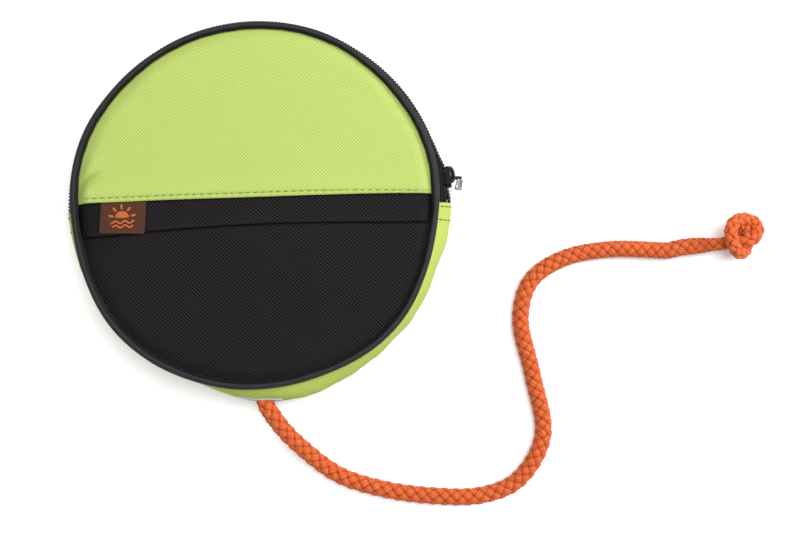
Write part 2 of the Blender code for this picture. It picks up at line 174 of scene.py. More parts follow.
def hem_y(x):
    return lookup(x, HEM)


def stitch_gap(x):
    """Distance of the hem's stitch line from its edge."""
    return 2.25 - 0.80 * smooth_step((x - 20.0) / 60.0)


def band_y(x):
    """Lower free edge of the black band."""
    sag = np.cos(np.clip(x / 88.0, -1, 1) * math.pi / 2) ** 1.5
    return -10.9 + 2.3 * sag - 0.8 * smooth_step((-40.0 - x) / 40.0)


def band_top_y(x):
    """Upper edge of the black band, hidden under the hem."""
    return hem_y(x) + 2.4


def level(height):
    """A straight edge at one y."""
    return lambda x: 0.0 * x + height


# ------------------------------------------------------------------ meshes
def make(name, verts, faces, material, uv, normals=None):
    """Object from verts and one uv per vert, both in mm."""
    mesh = bpy.data.meshes.new(name)
    verts = np.asarray(verts, float) * 0.001
    mesh.from_pydata(verts.tolist(), [], [list(map(int, face)) for face in faces])
    mesh.update()
    layer = mesh.uv_layers.new(name="UVMap")
    corners = np.zeros(len(mesh.loops), np.int32)
    mesh.loops.foreach_get("vertex_index", corners)
    layer.data.foreach_set("uv", np.asarray(uv, np.float32)[corners].ravel())
    obj = bpy.data.objects.new(name, mesh)
    bpy.context.scene.collection.objects.link(obj)
    mesh.materials.append(material)
    mesh.shade_smooth()
    if normals is not None:
        mesh.normals_split_custom_set_from_vertices(np.asarray(normals, float).tolist())
    return obj


def add_attribute(obj, name, values):
    """One value per vertex, for the material to read."""
    layer = obj.data.attributes.new(name, "FLOAT", "POINT")
    layer.data.foreach_set("value", np.asarray(values, np.float32))


def place(obj, slot, motion, *cad_names):
    """Hides the CAD pieces that obj replaces and attaches obj to what moves it, if that is a body;
    a blend (two bodies, start, end) only has its transform applied.
    The slot is not used."""
    if cad_names:
        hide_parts(*cad_names)
    if isinstance(motion, str):
        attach(obj, motion)
    else:
        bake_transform(obj)


def grid_faces(rows, cols, closed=False):
    """Faces of a tube laid out as rows of cols vertices, capped unless its rows close on themselves."""
    faces = []
    for i in range(rows if closed else rows - 1):
        here, there = i * cols, (i + 1) % rows * cols
        for j in range(cols):
            after = (j + 1) % cols
            faces.append((here + j, here + after, there + after, there + j))
    if not closed:
        faces.append(tuple(range(cols))[::-1])
        faces.append(tuple(range((rows - 1) * cols, rows * cols)))
    return faces


def outward(verts, faces):
    """Turns the faces of a closed body outwards, by the sign of its volume."""
    verts = np.asarray(verts, float)
    volume = 0.0
    for face in faces:
        for i in range(1, len(face) - 1):
            volume += np.dot(verts[face[0]], np.cross(verts[face[i]], verts[face[i + 1]]))
    return faces if volume > 0 else [tuple(reversed(face)) for face in faces]


class Build:
    """Collects several closed tubes into one piece."""

    def __init__(self):
        self.verts, self.faces, self.uv = [], [], []
        self.count = 0

    def add(self, verts, rows, cols, closed=False, uv=None):
        verts = np.asarray(verts, float)
        faces = outward(verts, grid_faces(rows, cols, closed))
        self.verts.append(verts)
        self.uv.append(np.zeros((len(verts), 2)) if uv is None else np.asarray(uv, float))
        self.faces += [tuple(i + self.count for i in face) for face in faces]
        self.count += len(verts)

    def obj(self, name, material):
        return make(name, np.vstack(self.verts), self.faces, material, np.vstack(self.uv))


def is_ccw(flat, triangle):
    first, second, third = (flat[i] for i in triangle)
    return ((second[0] - first[0]) * (third[1] - first[1])
            - (second[1] - first[1]) * (third[0] - first[0])) > 0


def triangulate(outline, inner, edge):
    """Fills an outline with triangles, denser in the rounded rim of width edge.
    Returns plan points, their distance from the outline and the triangles."""
    outline = np.asarray(outline, float)
    count = len(outline)
    after, before = np.roll(outline, -1, 0), np.roll(outline, 1, 0)
    along = after - before
    along /= np.maximum(np.linalg.norm(along, axis=1, keepdims=True), 1e-9)
    inward = np.stack([-along[:, 1], along[:, 0]], 1)
    if np.sum(outline[:, 0] * after[:, 1] - after[:, 0] * outline[:, 1]) < 0:
        inward = -inward
    sides = after - outline
    squares = np.maximum(np.einsum("ij,ij->i", sides, sides), 1e-9)

    def clearance(point):
        share = np.clip(np.einsum("ij,ij->i", point - outline, sides) / squares, 0, 1)
        return np.min(np.linalg.norm(outline + sides * share[:, None] - point, axis=1))

    points = [Vector(point) for point in outline]
    depths = [0.0] * count
    for inset in (edge * 0.35, edge, edge * 2.2):
        for point in outline + inward * inset:
            if clearance(point) > inset * 0.8:
                points.append(Vector(point))
                depths.append(inset)
    for point in np.asarray(inner, float):
        depth = clearance(point)
        if depth > edge * 2.2 + 0.5:
            points.append(Vector(point))
            depths.append(depth)
    bounds = [(i, (i + 1) % count) for i in range(count)]
    result = delaunay_2d_cdt(points, bounds, [], 1, 1e-5)
    found, triangles, sources = result[0], [tuple(face) for face in result[2]], result[3]
    used = sorted({i for triangle in triangles for i in triangle})
    number = {old: new for new, old in enumerate(used)}
    flat = np.array([list(found[i]) for i in used])
    depth = np.array([depths[sources[i][0]] if sources[i] else 0.0 for i in used])
    triangles = [tuple(number[i] for i in triangle) for triangle in triangles]
    faces = [face if is_ccw(flat, face) else face[::-1] for face in triangles]
    return flat, depth, faces


def sheet(name, outline, inner, surface, thick, material, edge,
          painted_shading=None, join=None, rim_distance=None):
    """A closed piece of cloth from an outline and inner points in plan.

    surface(x, y) is the height of its face; its free edge is rounded over edge mm.
    The shading function of (x, y) gives the shade painted on the cloth beside its neighbours.
    At x = join the cloth carries on in the next piece, so its face stays flat up to there;
    rim_distance(x, y) then gives the distance to the free edges.
    """
    flat, depth, faces = triangulate(outline, inner, edge)
    count = len(flat)
    x, y = flat[:, 0], flat[:, 1]
    z = surface(x, y)
    if rim_distance is not None:
        depth = np.clip(rim_distance(x, y), 0.0, 99.0)
    roll = np.clip(depth / edge, 0.0, 1.0)
    drop = 0.5 * thick * (1.0 - np.sqrt(np.clip(1.0 - (1.0 - roll) ** 2, 0.0, 1.0)))
    verts = np.vstack([np.column_stack([flat, z - drop]),
                       np.column_stack([flat, z - thick + drop])])
    lower = [tuple(i + count for i in face[::-1]) for face in faces]

    def at_join(i):
        return join is not None and abs(flat[i, 0] - join) < 1e-3

    directed = dict.fromkeys((face[i], face[(i + 1) % 3]) for face in faces for i in range(3))
    rim = [pair for pair in directed if pair[::-1] not in directed]
    cut = [pair for pair in rim if all(map(at_join, pair))]
    walls = [(j, i, i + count, j + count) for i, j in rim if (i, j) not in cut]
    # the join has corners of its own, so the face keeps its shading
    extra = [k for i, j in cut for k in (j, i, i + count, j + count)]
    walls += [tuple(range(2 * count + k, 2 * count + k + 4)) for k in range(0, len(extra), 4)]
    order = list(range(2 * count)) + extra
    uv = np.vstack([flat, flat])[order]
    obj = make(name, warp(verts[order]), faces + lower + walls, material, uv)
    # painted shade, stored as one value per vertex for the material
    if painted_shading is not None:
        shade = np.broadcast_to(painted_shading(x, y), (count,))
        add_attribute(obj, "painted_shading", np.concatenate([shade, shade])[order])
    return obj


def hex_grid(left, right, low, high, step):
    points = []
    row = 0
    y = low
    while y <= high:
        x = left + (step / 2 if row % 2 else 0.0)
        while x <= right:
            points.append((x, y))
            x += step
        y += step * 0.866
        row += 1
    return points


def ring_points(radius, start, end, step):
    count = max(2, int(round(abs(math.radians(end - start)) * radius / step)))
    return [polar(radius, start + (end - start) * i / count, 0.0)[:2] for i in range(count + 1)]


def edge_line(edge_y, start, end, step, offset=0.0):
    """Points along the edge y = edge_y(x), moved in y by the offset."""
    xs = np.linspace(start, end, int(abs(end - start) / step) + 1)
    return list(zip(xs, edge_y(xs) + offset))


def crossings(edge_y, radius):
    """Angles at which the edge meets the circle, right and left."""
    angles = []
    for side in (1, -1):
        x = side * radius
        for _ in range(30):
            y = float(edge_y(x))
            x = side * math.sqrt(radius * radius - y * y)
        angles.append(math.degrees(math.atan2(y, x)))
    return angles


def cut_disc(edge_y, radius, arc_step, line_step, upper):
    """Outline of a disc cut along an edge; upper keeps the +Y side. For an edge below the X axis
    the lower arc starts at a negative angle and so runs on round the +Y side as well."""
    right, left = crossings(edge_y, radius)
    start, end = (right, left) if upper else (left, 360.0 + right)
    arc = ring_points(radius, start, end, arc_step)
    return arc + edge_line(edge_y, arc[-1][0], arc[0][0], line_step)[1:-1]


def around(name, profile, material, step, start=None, end=None, painted_shading=None):
    """Sweeps profile(angle), a closed list of (radius, z), round the bag; a full turn without
    start and end. The shading argument holds one value of painted shade per point of the profile."""
    closed = start is None
    if closed:
        angles = np.arange(0.0, 360.0, step)
    else:
        angles = np.linspace(start, end, max(2, int(round((end - start) / step))) + 1)
    verts, uv = [], []
    for angle in angles:
        ring = profile(angle)
        for (radius, z), run in zip(ring, arc_length(ring)):
            verts.append(polar(radius, angle, z))
            uv.append((math.radians(angle) * UV_RADIUS, run))
    verts = warp(verts)
    faces = outward(verts, grid_faces(len(angles), len(ring), closed))
    obj = make(name, verts, faces, material, uv)
    # painted shade, one value per vertex
    if painted_shading is not None:
        add_attribute(obj, "painted_shading", np.tile(np.asarray(painted_shading, float), len(angles)))
    return obj


def cloth_strip(outer, thick):
    """Closed profile from an outer line of (radius, z), bottom to top."""
    outer = np.array(outer, float)
    along = unit(np.gradient(outer, axis=0))
    inner = outer + np.column_stack([-along[:, 1], along[:, 0]]) * thick
    return [tuple(point) for point in outer] + [tuple(point) for point in inner[::-1]]


# ------------------------------------------------------------------ materials
class Shader:
    """A Principled material with short calls that add nodes to it; coordinates are in mm."""

    def __init__(self, name, rough, metal=0.0, specular=0.2, sheen=0.0):
        self.material = bpy.data.materials.new(name)
        self.material.use_nodes = True
        self.tree = self.material.node_tree
        self.surface = self.tree.nodes["Principled BSDF"]
        self.set("Roughness", rough)
        self.set("Metallic", metal)
        self.set("Specular IOR Level", specular)
        self.set("Sheen Weight", sheen)
        self.set("Sheen Roughness", 0.5)

    def put(self, socket, value):
        """Links a socket to the value, or stores it; colours are given as three numbers."""
        if isinstance(value, bpy.types.NodeSocket):
            self.tree.links.new(value, socket)
        elif socket.type == "RGBA":
            socket.default_value = (*value, 1.0)
        else:
            socket.default_value = value

    def set(self, name, value):
        self.put(self.surface.inputs[name], value)

    def node(self, kind, inputs={}, **settings):
        node = self.tree.nodes.new("ShaderNode" + kind)
        for name, value in settings.items():
            setattr(node, name, value)
        for key, value in inputs.items():
            self.put(node.inputs[key], value)
        return node

    def math(self, operation, first, second=None, clamp=False):
        inputs = {0: first} if second is None else {0: first, 1: second}
        return self.node("Math", inputs, operation=operation, use_clamp=clamp).outputs[0]

    def add(self, first, second, clamp=False):
        return self.math("ADD", first, second, clamp)

    def subtract(self, first, second):
        return self.math("SUBTRACT", first, second)

    def multiply(self, first, second):
        return self.math("MULTIPLY", first, second)

    def vector(self, operation, first, second):
        inputs = {0: first, "Scale" if operation == "SCALE" else 1: second}
        return self.node("VectorMath", inputs, operation=operation).outputs[0]

    def uv(self):
        return self.node("UVMap", uv_map="UVMap").outputs["UV"]

    def position(self):
        return self.vector("SCALE", self.node("TexCoord").outputs["Object"], 1000.0)

    def attribute(self, name):
        return self.node("Attribute", attribute_name=name).outputs["Fac"]

    def noise(self, coords, scale, detail=2.0, rough=0.5, output="Fac"):
        inputs = {"Scale": scale, "Detail": detail, "Roughness": rough, "Vector": coords}
        return self.node("TexNoise", inputs).outputs[output]

    def shift(self, coords, amount, scale):
        """The same coordinates, disturbed a little so that no line of the weave is ruled."""
        push = self.noise(coords, scale, detail=1.0, output="Color")
        push = self.vector("SUBTRACT", push, (0.5, 0.5, 0.5))
        return self.vector("ADD", coords, self.vector("SCALE", push, amount))

    def wave(self, coords, period, angle, phase=0.0):
        """A sine from 0 to 1 of the given period that runs in the given direction."""
        angle = math.radians(angle)
        direction = (math.cos(angle) * TAU / period, math.sin(angle) * TAU / period, 0.0)
        dot = self.node("VectorMath", {0: coords, 1: direction}, operation="DOT_PRODUCT")
        turn = dot.outputs["Value"]
        if phase:
            turn = self.add(turn, phase)
        return self.add(self.multiply(self.math("SINE", turn), 0.5), 0.5)

    def ramp(self, share, stops):
        """stops are (position, colour)."""
        node = self.node("ValToRGB", {"Fac": share})
        elements = node.color_ramp.elements
        while len(elements) < len(stops):
            elements.new(0.5)
        for element, (position, colour) in zip(elements, stops):
            element.position = position
            element.color = (*colour, 1.0)
        return node.outputs["Color"]

    def grey_ramp(self, share, black, white):
        return self.ramp(share, ((black, (0, 0, 0)), (white, (1, 1, 1))))

    def mix(self, share, first, second):
        inputs = {0: share, 6: first, 7: second}        # 6, 7 and output 2 are the colour sockets
        return self.node("Mix", inputs, data_type="RGBA").outputs[2]

    def spread(self, share, low, high):
        """Maps 0..1 to low..high."""
        return self.add(self.multiply(share, high - low), low)

    def lit(self):
        """Painted light: one minus the shade painted per vertex on the mesh."""
        return self.subtract(1.0, self.attribute("painted_shading"))

    def finish(self, colour, height, depth, rough=None):
        """Sets colour, a bump of the given depth in mm and, if given, roughness."""
        self.set("Base Color", colour)
        inputs = {"Distance": depth * 0.001, "Strength": 1.0, "Height": height}
        self.set("Normal", self.node("Bump", inputs).outputs["Normal"])
        if rough is not None:
            self.set("Roughness", rough)
        return self.material


RIB_ANGLE = 44.5                        # direction across the ribs of the woven cloth
CLOTH_PATCH = 28.0                      # size of the blotches of tone


def woven(name, dark, light, period, rough, specular, bump, mottle):
    """Plain woven cloth: fine diagonal ribs, stronger here and weaker there, crossed in places
    by ribs the other way. mottle is how far the tone wanders."""
    mat = Shader(name, rough, specular=specular)
    raw = mat.uv()
    uv = mat.shift(raw, amount=0.55, scale=0.16)
    ribs = mat.subtract(mat.wave(uv, period, RIB_ANGLE), 0.5)
    cross = mat.subtract(mat.wave(uv, period * 0.90, RIB_ANGLE - 84.0, phase=0.7), 0.5)
    cross_beat = mat.subtract(mat.wave(uv, period * 1.04, RIB_ANGLE - 97.0, phase=2.1), 0.5)
    rib_area = mat.noise(raw, scale=0.16)
    cross_area = mat.noise(mat.shift(raw, amount=30.0, scale=0.01), scale=0.19)
    rib_gain = mat.spread(mat.grey_ramp(rib_area, 0.30, 0.68), low=0.30, high=0.98)
    cross_gain = mat.spread(mat.grey_ramp(cross_area, 0.36, 0.66), low=0.16, high=1.00)
    height = mat.add(mat.multiply(ribs, rib_gain),
                     mat.multiply(mat.add(cross, cross_beat), mat.multiply(cross_gain, 0.5)))
    fine = mat.noise(uv, scale=1.9, detail=3.0, rough=0.7)
    height = mat.add(height, mat.multiply(mat.subtract(fine, 0.5), 0.95))
    height = mat.add(height, 0.5, clamp=True)
    colour = mat.mix(height, dark, light)
    blotches = mat.noise(raw, scale=1.0 / CLOTH_PATCH, detail=3.0, rough=0.55)
    gain = mat.spread(blotches, low=1.0 - mottle, high=1.0 + mottle)
    # the random tone, times the painted light and shade stored on the mesh
    colour = mat.vector("SCALE", colour, mat.multiply(gain, mat.lit()))
    rough = mat.spread(fine, low=rough - 0.08, high=min(1.0, rough + 0.08))
    return mat.finish(colour, height, bump, rough)


def piping_cover():
    mat = Shader("piping_cover", rough=0.62, specular=0.22, sheen=0.05)
    raw = mat.uv()
    uv = mat.shift(raw, amount=0.3, scale=0.15)
    weave = mat.multiply(mat.wave(uv, period=0.75, angle=38.0),
                         mat.wave(uv, period=0.75, angle=128.0))
    fine = mat.noise(uv, scale=1.6, detail=3.0, rough=0.6)
    tone = mat.add(mat.multiply(weave, 0.45), mat.multiply(fine, 0.55))
    colour = mat.mix(tone, (0.0094, 0.0085, 0.0097), (0.0238, 0.0220, 0.0243))
    blotches = mat.noise(raw, scale=0.05, detail=3.0)
    # the random tone, times the painted light and shade stored on the mesh
    gain = mat.multiply(mat.spread(blotches, low=0.85, high=1.15), mat.lit())
    return mat.finish(
        colour=mat.vector("SCALE", colour, gain),
        height=mat.add(weave, mat.multiply(fine, 0.8)), depth=0.07,
        rough=mat.spread(fine, low=0.52, high=0.72))


def zip_tape_knit():
    mat = Shader("zip_tape_knit", rough=0.9, specular=0.05)
    uv = mat.shift(mat.uv(), amount=0.15, scale=0.3)
    knit = mat.math("MAXIMUM", mat.wave(uv, period=0.62, angle=62.0),
                    mat.wave(uv, period=0.62, angle=118.0))
    colour = mat.mix(knit, (0.0030, 0.0029, 0.0032), (0.0115, 0.0110, 0.0118))
    return mat.finish(colour, knit, depth=0.10)


def zip_coil_nylon():
    mat = Shader("zip_coil_nylon", rough=0.38, specular=0.45)
    tone = mat.noise(mat.position(), scale=0.9)
    colour = mat.mix(tone, (0.006, 0.006, 0.0065), (0.014, 0.0138, 0.0145))
    return mat.finish(colour, tone, depth=0.02, rough=mat.spread(tone, low=0.30, high=0.48))


def rope_fibre():
    """Bundles of orange filament; u runs 0..1 across a strand and v along it in mm."""
    mat = Shader("rope_fibre", rough=0.62, specular=0.28, sheen=0.12)
    mat.set("Sheen Tint", (1.0, 0.75, 0.5))
    split = mat.node("SeparateXYZ", {0: mat.uv()})
    across, along = split.outputs[0], split.outputs[1]

    def stretched(across_scale, along_scale):
        inputs = {0: mat.multiply(across, across_scale), 1: mat.multiply(along, along_scale)}
        return mat.node("CombineXYZ", inputs).outputs[0]

    fibres = mat.noise(stretched(34.0, 0.28), scale=1.0, detail=3.0, rough=0.65)
    bundles = mat.noise(stretched(9.0, 0.12), scale=1.0)
    tone = mat.add(mat.multiply(fibres, 0.62), mat.multiply(bundles, 0.38))
    colour = mat.ramp(tone, (
        (0.28, (0.46, 0.045, 0.007)), (0.46, (0.64, 0.095, 0.016)),
        (0.60, (0.78, 0.175, 0.034)), (0.76, (0.93, 0.360, 0.110))))
    # painted shade: the flanks of each strand, the cleft between its two yarns and the stretches where
    # it dives are painted darker
    painted_crest_light = mat.attribute("painted_crest_light")
    flank_shade = mat.multiply(mat.math("ABSOLUTE", mat.subtract(across, 0.5)), 2.0)
    flank_shade = mat.math("POWER", flank_shade, 3.0)
    cleft_shade = mat.math("ABSOLUTE", mat.subtract(mat.multiply(across, 2.0), 1.0))
    cleft_shade = mat.math("POWER", mat.subtract(1.0, cleft_shade), 9.0)
    dark = mat.add(mat.multiply(flank_shade, 0.42), mat.multiply(cleft_shade, 0.34))
    shade = mat.multiply(mat.spread(painted_crest_light, low=0.40, high=1.08), mat.subtract(1.0, dark))
    blotches = mat.noise(mat.position(), scale=0.035)
    gain = mat.multiply(shade, mat.spread(blotches, low=0.86, high=1.02))
    colour = mat.vector("SCALE", colour, gain)
    # painted shade also turns the fibres redder, for light that would reach them through their
    # neighbours
    tint = mat.mix(shade, (1.0, 0.62, 0.45), (1.0, 1.0, 1.0))
    return mat.finish(
        colour=mat.vector("MULTIPLY", colour, tint),
        height=mat.add(fibres, mat.multiply(bundles, 0.6)), depth=0.30,
        rough=mat.spread(fibres, low=0.5, high=0.75))


def thread(name, dark, light):
    mat = Shader(name, rough=0.6, specular=0.3)
    tone = mat.noise(mat.position(), scale=2.5, detail=3.0, rough=0.6)
    return mat.finish(mat.mix(tone, dark, light), tone, depth=0.08)


def patch_tape():
    mat = Shader("patch_tape", rough=0.8, specular=0.2)
    uv = mat.shift(mat.uv(), amount=0.2, scale=0.3)
    weave = mat.multiply(mat.wave(uv, period=1.1, angle=0.0),
                         mat.wave(uv, period=0.8, angle=90.0))
    colour = mat.mix(weave, (0.42, 0.41, 0.41), (0.72, 0.71, 0.71))
    return mat.finish(colour, weave, depth=0.15)


def label_weave():
    mat = Shader("label_weave", rough=0.75, specular=0.2, sheen=0.03)
    uv = mat.shift(mat.uv(), amount=0.10, scale=0.4)
    rows = mat.wave(uv, period=0.55, angle=90.0)
    columns = mat.wave(uv, period=0.42, angle=0.0)
    weave = mat.add(mat.multiply(rows, 0.6), mat.multiply(columns, 0.4))
    fine = mat.noise(uv, scale=1.8, detail=3.0, rough=0.6)
    tone = mat.add(mat.multiply(weave, 0.6), mat.multiply(fine, 0.4))
    colour = mat.mix(tone, (0.034, 0.0105, 0.0050), (0.092, 0.0335, 0.0160))
    return mat.finish(colour, tone, depth=0.07)


def emblem_thread():
    mat = Shader("emblem_thread", rough=0.55, specular=0.3)
    threads = mat.wave(mat.uv(), period=0.38, angle=90.0)
    fine = mat.noise(mat.position(), scale=3.0)
    tone = mat.add(mat.multiply(threads, 0.5), mat.multiply(fine, 0.5))
    colour = mat.mix(tone, (0.34, 0.060, 0.011), (0.64, 0.165, 0.036))
    return mat.finish(colour, threads, depth=0.08)


def hard(name, dark, light, rough, metal, specular):
    """Enamel or bare metal with a slight grain."""
    mat = Shader(name, rough, metal=metal, specular=specular)
    position = mat.position()
    tone = mat.noise(position, scale=0.7, detail=4.0, rough=0.6)
    grain = mat.noise(position, scale=4.0, rough=0.6)
    return mat.finish(mat.mix(tone, dark, light), grain, depth=0.012,
                      rough=mat.spread(tone, low=rough - 0.08, high=rough + 0.12))


LIME = woven("lime_fabric", (0.300, 0.392, 0.076), (0.446, 0.538, 0.156),
             period=1.29, rough=0.8, specular=0.18, bump=0.08, mottle=0.035)
BLACK = woven("black_fabric", (0.0006, 0.0004, 0.0005), (0.0222, 0.0198, 0.0207),
              period=1.41, rough=0.85, specular=0.08, bump=0.10, mottle=0.14)
# the side's copy of the lime cloth is painted lighter and more saturated, for the light that falls on
# the side
LIME_SIDE_PAINTED_LIGHTER = woven("lime_side_fabric_painted_lighter", (0.312, 0.405, 0.066), (0.466, 0.562, 0.130),
                  period=1.29, rough=0.8, specular=0.18, bump=0.08, mottle=0.05)
LINING = woven("lining_fabric", (0.008, 0.008, 0.009), (0.022, 0.021, 0.022),
               period=0.8, rough=0.8, specular=0.12, bump=0.06, mottle=0.08)
PIPING = piping_cover()
TAPE = zip_tape_knit()
COIL = zip_coil_nylon()
ROPE = rope_fibre()
HEM_THREAD = thread("hem_thread", (0.070, 0.125, 0.030), (0.180, 0.260, 0.065))
BLACK_THREAD = thread("black_thread", (0.006, 0.006, 0.006), (0.022, 0.021, 0.022))
GUSSET_THREAD = thread("gusset_thread", (0.045, 0.105, 0.025), (0.120, 0.235, 0.050))
GREY_THREAD = thread("grey_thread", (0.20, 0.20, 0.20), (0.42, 0.42, 0.42))
PATCH = patch_tape()
LABEL_CLOTH = label_weave()
EMBLEM = emblem_thread()
SLIDER_PAINT = hard("slider_enamel", (0.0035, 0.0035, 0.004), (0.011, 0.0105, 0.011),
                    rough=0.30, metal=0.0, specular=0.28)
SLIDER_DULL = hard("slider_enamel_worn", (0.0025, 0.0025, 0.003), (0.009, 0.0085, 0.009),
                   rough=0.62, metal=0.0, specular=0.12)
TAB_METAL = hard("tab_gunmetal", (0.27, 0.27, 0.26), (0.50, 0.49, 0.47),
                 rough=0.28, metal=1.0, specular=0.5)


# ------------------------------------------------------------------ painted shade on the front fabrics
def shades(*parts):
    """Several painted shades that lie over one another; a negative one paints light."""
    light = 1.0
    for part in parts:
        light = light * (1.0 - part)
    return 1.0 - light


def seam_painted_shade(x, y):
    """Painted shade: the cloth is painted darker over the last millimetres before it dives under the
    piping.
    """
    return 0.70 * np.clip((np.hypot(x, y) - 87.7) / 1.4, 0.0, 1.0) ** 1.6


def left_painted_shade(x):
    """Painted shade: the -X ends of the pocket and the band are painted a little darker."""
    return smooth_step((-62.0 - x) / 18.0)


# ------------------------------------------------------------------ lime upper fabric
CREASE_START = (-81.5, 17.7)
CREASE_ANGLE = math.radians(37.0)


def crease(x, y):
    """Place along and across the crease that runs up to the right near the hem's left end."""
    cosine, sine = math.cos(CREASE_ANGLE), math.sin(CREASE_ANGLE)
    x, y = x - CREASE_START[0], y - CREASE_START[1]
    return x * cosine + y * sine, -x * sine + y * cosine


def upper_painted_shade(x, y):
    along, across = crease(x, y)
    # painted shade in the crease and beside it
    fold_shade = 0.20 * bell(across, 1.35) * (1.0 - smooth_step((along + 1.0) / 10.0))
    fold_shade = fold_shade + 0.10 * bell(across + 2.8, 2.6) * (1.0 - smooth_step(along / 9.0))
    above = y - hem_y(x)
    # painted shade along the stitch line and at the hem's free edge
    line = 0.13 * bell(above - stitch_gap(x), 0.42)
    edge = 0.18 * bell(above, 0.45)
    return shades(seam_painted_shade(x, y), fold_shade, line, edge)


def upper_surface(x, y):
    radius = np.hypot(x, y)
    above = y - hem_y(x)
    z = 0.35 + 1.25 * (1.0 - smooth_step((above - 2.0) / 9.0))
    # the stitch line pulls the folded hem down, and the edge puffs up between the stitches
    gap = stitch_gap(x)
    pucker = np.sin(TAU * x / 3.8 + 0.9 * np.sin(x / 9.0))
    z = z - 0.40 * bell(above - gap, 0.65)
    z = z + 0.10 * pucker * bell(above - 0.55 * gap, 1.0)
    z = z - 0.10 * pucker * bell(above - gap, 0.8)
    z = z + 0.16 * np.sin(x / 11.0 + 1.0) * bell(above - 7.5, 4.0)
    # the crease and the swellings on both sides of it
    along, across = crease(x, y)
    z = z - 0.70 * bell(across, 1.9) * (1.0 - smooth_step((along + 1.0) / 11.0))
    z = z + 0.40 * bell(across - 3.6, 2.4) * (1.0 - smooth_step(along / 12.0))
    z = z + 0.25 * bell(across + 3.6, 2.4) * (1.0 - smooth_step(along / 9.0))
    # everything so far fades out towards the sewn seam
    z = base_height(x, y) + z * smooth_step((89.0 - radius) / 4.6)
    # slow undulation next to the piping
    angle = np.arctan2(y, x)
    z = z + 0.20 * np.sin(9.0 * angle + 0.5) * bell(84.0 - radius, 4.0)
    return z + 0.12 * np.sin(17.0 * angle + 1.7) * bell(85.5 - radius, 2.5)


inner = []
for offset in (0.7, 1.15, 1.6, 2.0, 2.4, 2.85, 3.4, 4.1, 5.0, 6.0):
    inner += edge_line(hem_y, -86.0, 86.0, 0.85, offset)
inner += hex_grid(-90, 90, 12.0, 90, 2.0)
inner += hex_grid(-90, -70, 11.4, 28, 0.9)             # finer round the crease
outline = cut_disc(hem_y, PANEL_RADIUS, arc_step=1.6, line_step=0.8, upper=True)
upper_fabric = sheet("front_upper_fabric", outline, inner, upper_surface, thick=0.95,
                     material=LIME, edge=0.6, painted_shading=upper_painted_shade)
place(upper_fabric, "lime_fabric", BAG_TO_FLAP, "front_upper_panel", "front_hem_panel")


# ------------------------------------------------------------------ black pocket
def pocket_surface(x, y):
    radius = np.hypot(x, y)
    z = base_height(x, y)
    z = z + 0.20 * np.sin(8.0 * np.arctan2(y, x) + 2.0) * bell(84.0 - radius, 4.5)
    z = z + 0.25 * np.sin(x / 17.0 + y / 40.0) * smooth_step((80.0 - radius) / 30.0)
    return z - 0.9 * smooth_step((y - band_y(x) + 2.2) / 3.5)       # it dips in under the band


def pocket_painted_shade(x, y):
    # painted shadow under the band's free edge, and painted shade at the -X end and by the piping
    below = band_y(x) - y
    lip_shadow = np.where(below > 0.0, 0.72 * bell(below, 0.95), 0.72)
    side = 0.30 * left_painted_shade(x) * bell(np.clip(below, 0, 99), 7.0)
    return shades(0.94 * seam_painted_shade(x, y), lip_shadow, side)


inner = hex_grid(-90, 90, -90, -15.0, 2.2) + hex_grid(-90, 90, -5.0, -1, 2.2)
for offset in (1.5, 0.7, 0.2, -0.25, -0.6, -1.0, -1.5, -2.1, -2.9):
    inner += edge_line(band_y, -86.5, 86.5, 1.1, offset)
outline = cut_disc(level(-1.0), PANEL_RADIUS, arc_step=1.8, line_step=1.5, upper=False)
pocket = sheet("front_pocket_fabric", outline, inner, pocket_surface, thick=0.8,
               material=BLACK, edge=0.5, painted_shading=pocket_painted_shade)
place(pocket, "black_fabric", "bag", "front_pocket_panel")


# ------------------------------------------------------------------ black band
def band_surface(x, y):
    seam = smooth_step((88.6 - np.hypot(x, y)) / 5.0)
    above = y - band_y(x)
    z = base_height(x, y) + (0.40 + 0.35 * smooth_step((x + 80.0) / 50.0)) * seam
    z = z + 0.45 * bell(above - 1.2, 2.4) * seam                    # fuller folded lower edge
    z = z + 0.14 * np.sin(x / 13.0 + 0.7) * seam * bell(above - 4.0, 4.0)
    return z - 0.12 * smooth_step((y - 0.5) / 2.5)


def band_painted_light_and_shade(x, y):
    # painted shadow under the hem, a painted highlight along the folded lower edge, and painted shade
    # at the -X end and by the piping
    hem = 0.75 * smooth_step((y - hem_y(x) + 1.5) / 1.4)
    painted_crest_light = 0.16 * bell(y - band_y(x) - 1.0, 0.7)
    return shades(0.94 * seam_painted_shade(x, y), hem, 0.22 * left_painted_shade(x), -painted_crest_light)


def band_half(name, start, end):
    """Half of the band, from x = start to x = end; the halves join at x = 0."""
    seam_y = np.arange(float(band_y(0.0)) + 0.7, float(band_top_y(0.0)) - 0.3, 0.8)
    middle = [(0.0, float(y)) for y in seam_y]        # the face must stay curved along the join
    outline = edge_line(band_y, start, end, 1.0)
    outline += middle if end == 0.0 else []
    outline += edge_line(band_top_y, end, start, 1.0)
    outline += middle[::-1] if start == 0.0 else []
    xs = np.arange(start + 0.6, end - 0.3, 1.2)
    inner = []
    for share in (0.04, 0.08, 0.12, 0.18, 0.28, 0.4, 0.52, 0.64, 0.72, 0.78, 0.83, 0.88, 0.95):
        inner += list(zip(xs, band_y(xs) * (1 - share) + band_top_y(xs) * share))
    return sheet(name, outline, inner, band_surface, thick=1.3, material=BLACK, edge=0.6,
                 painted_shading=band_painted_light_and_shade, join=0.0,
                 rim_distance=lambda x, y: np.minimum(y - band_y(x), band_top_y(x) - y))


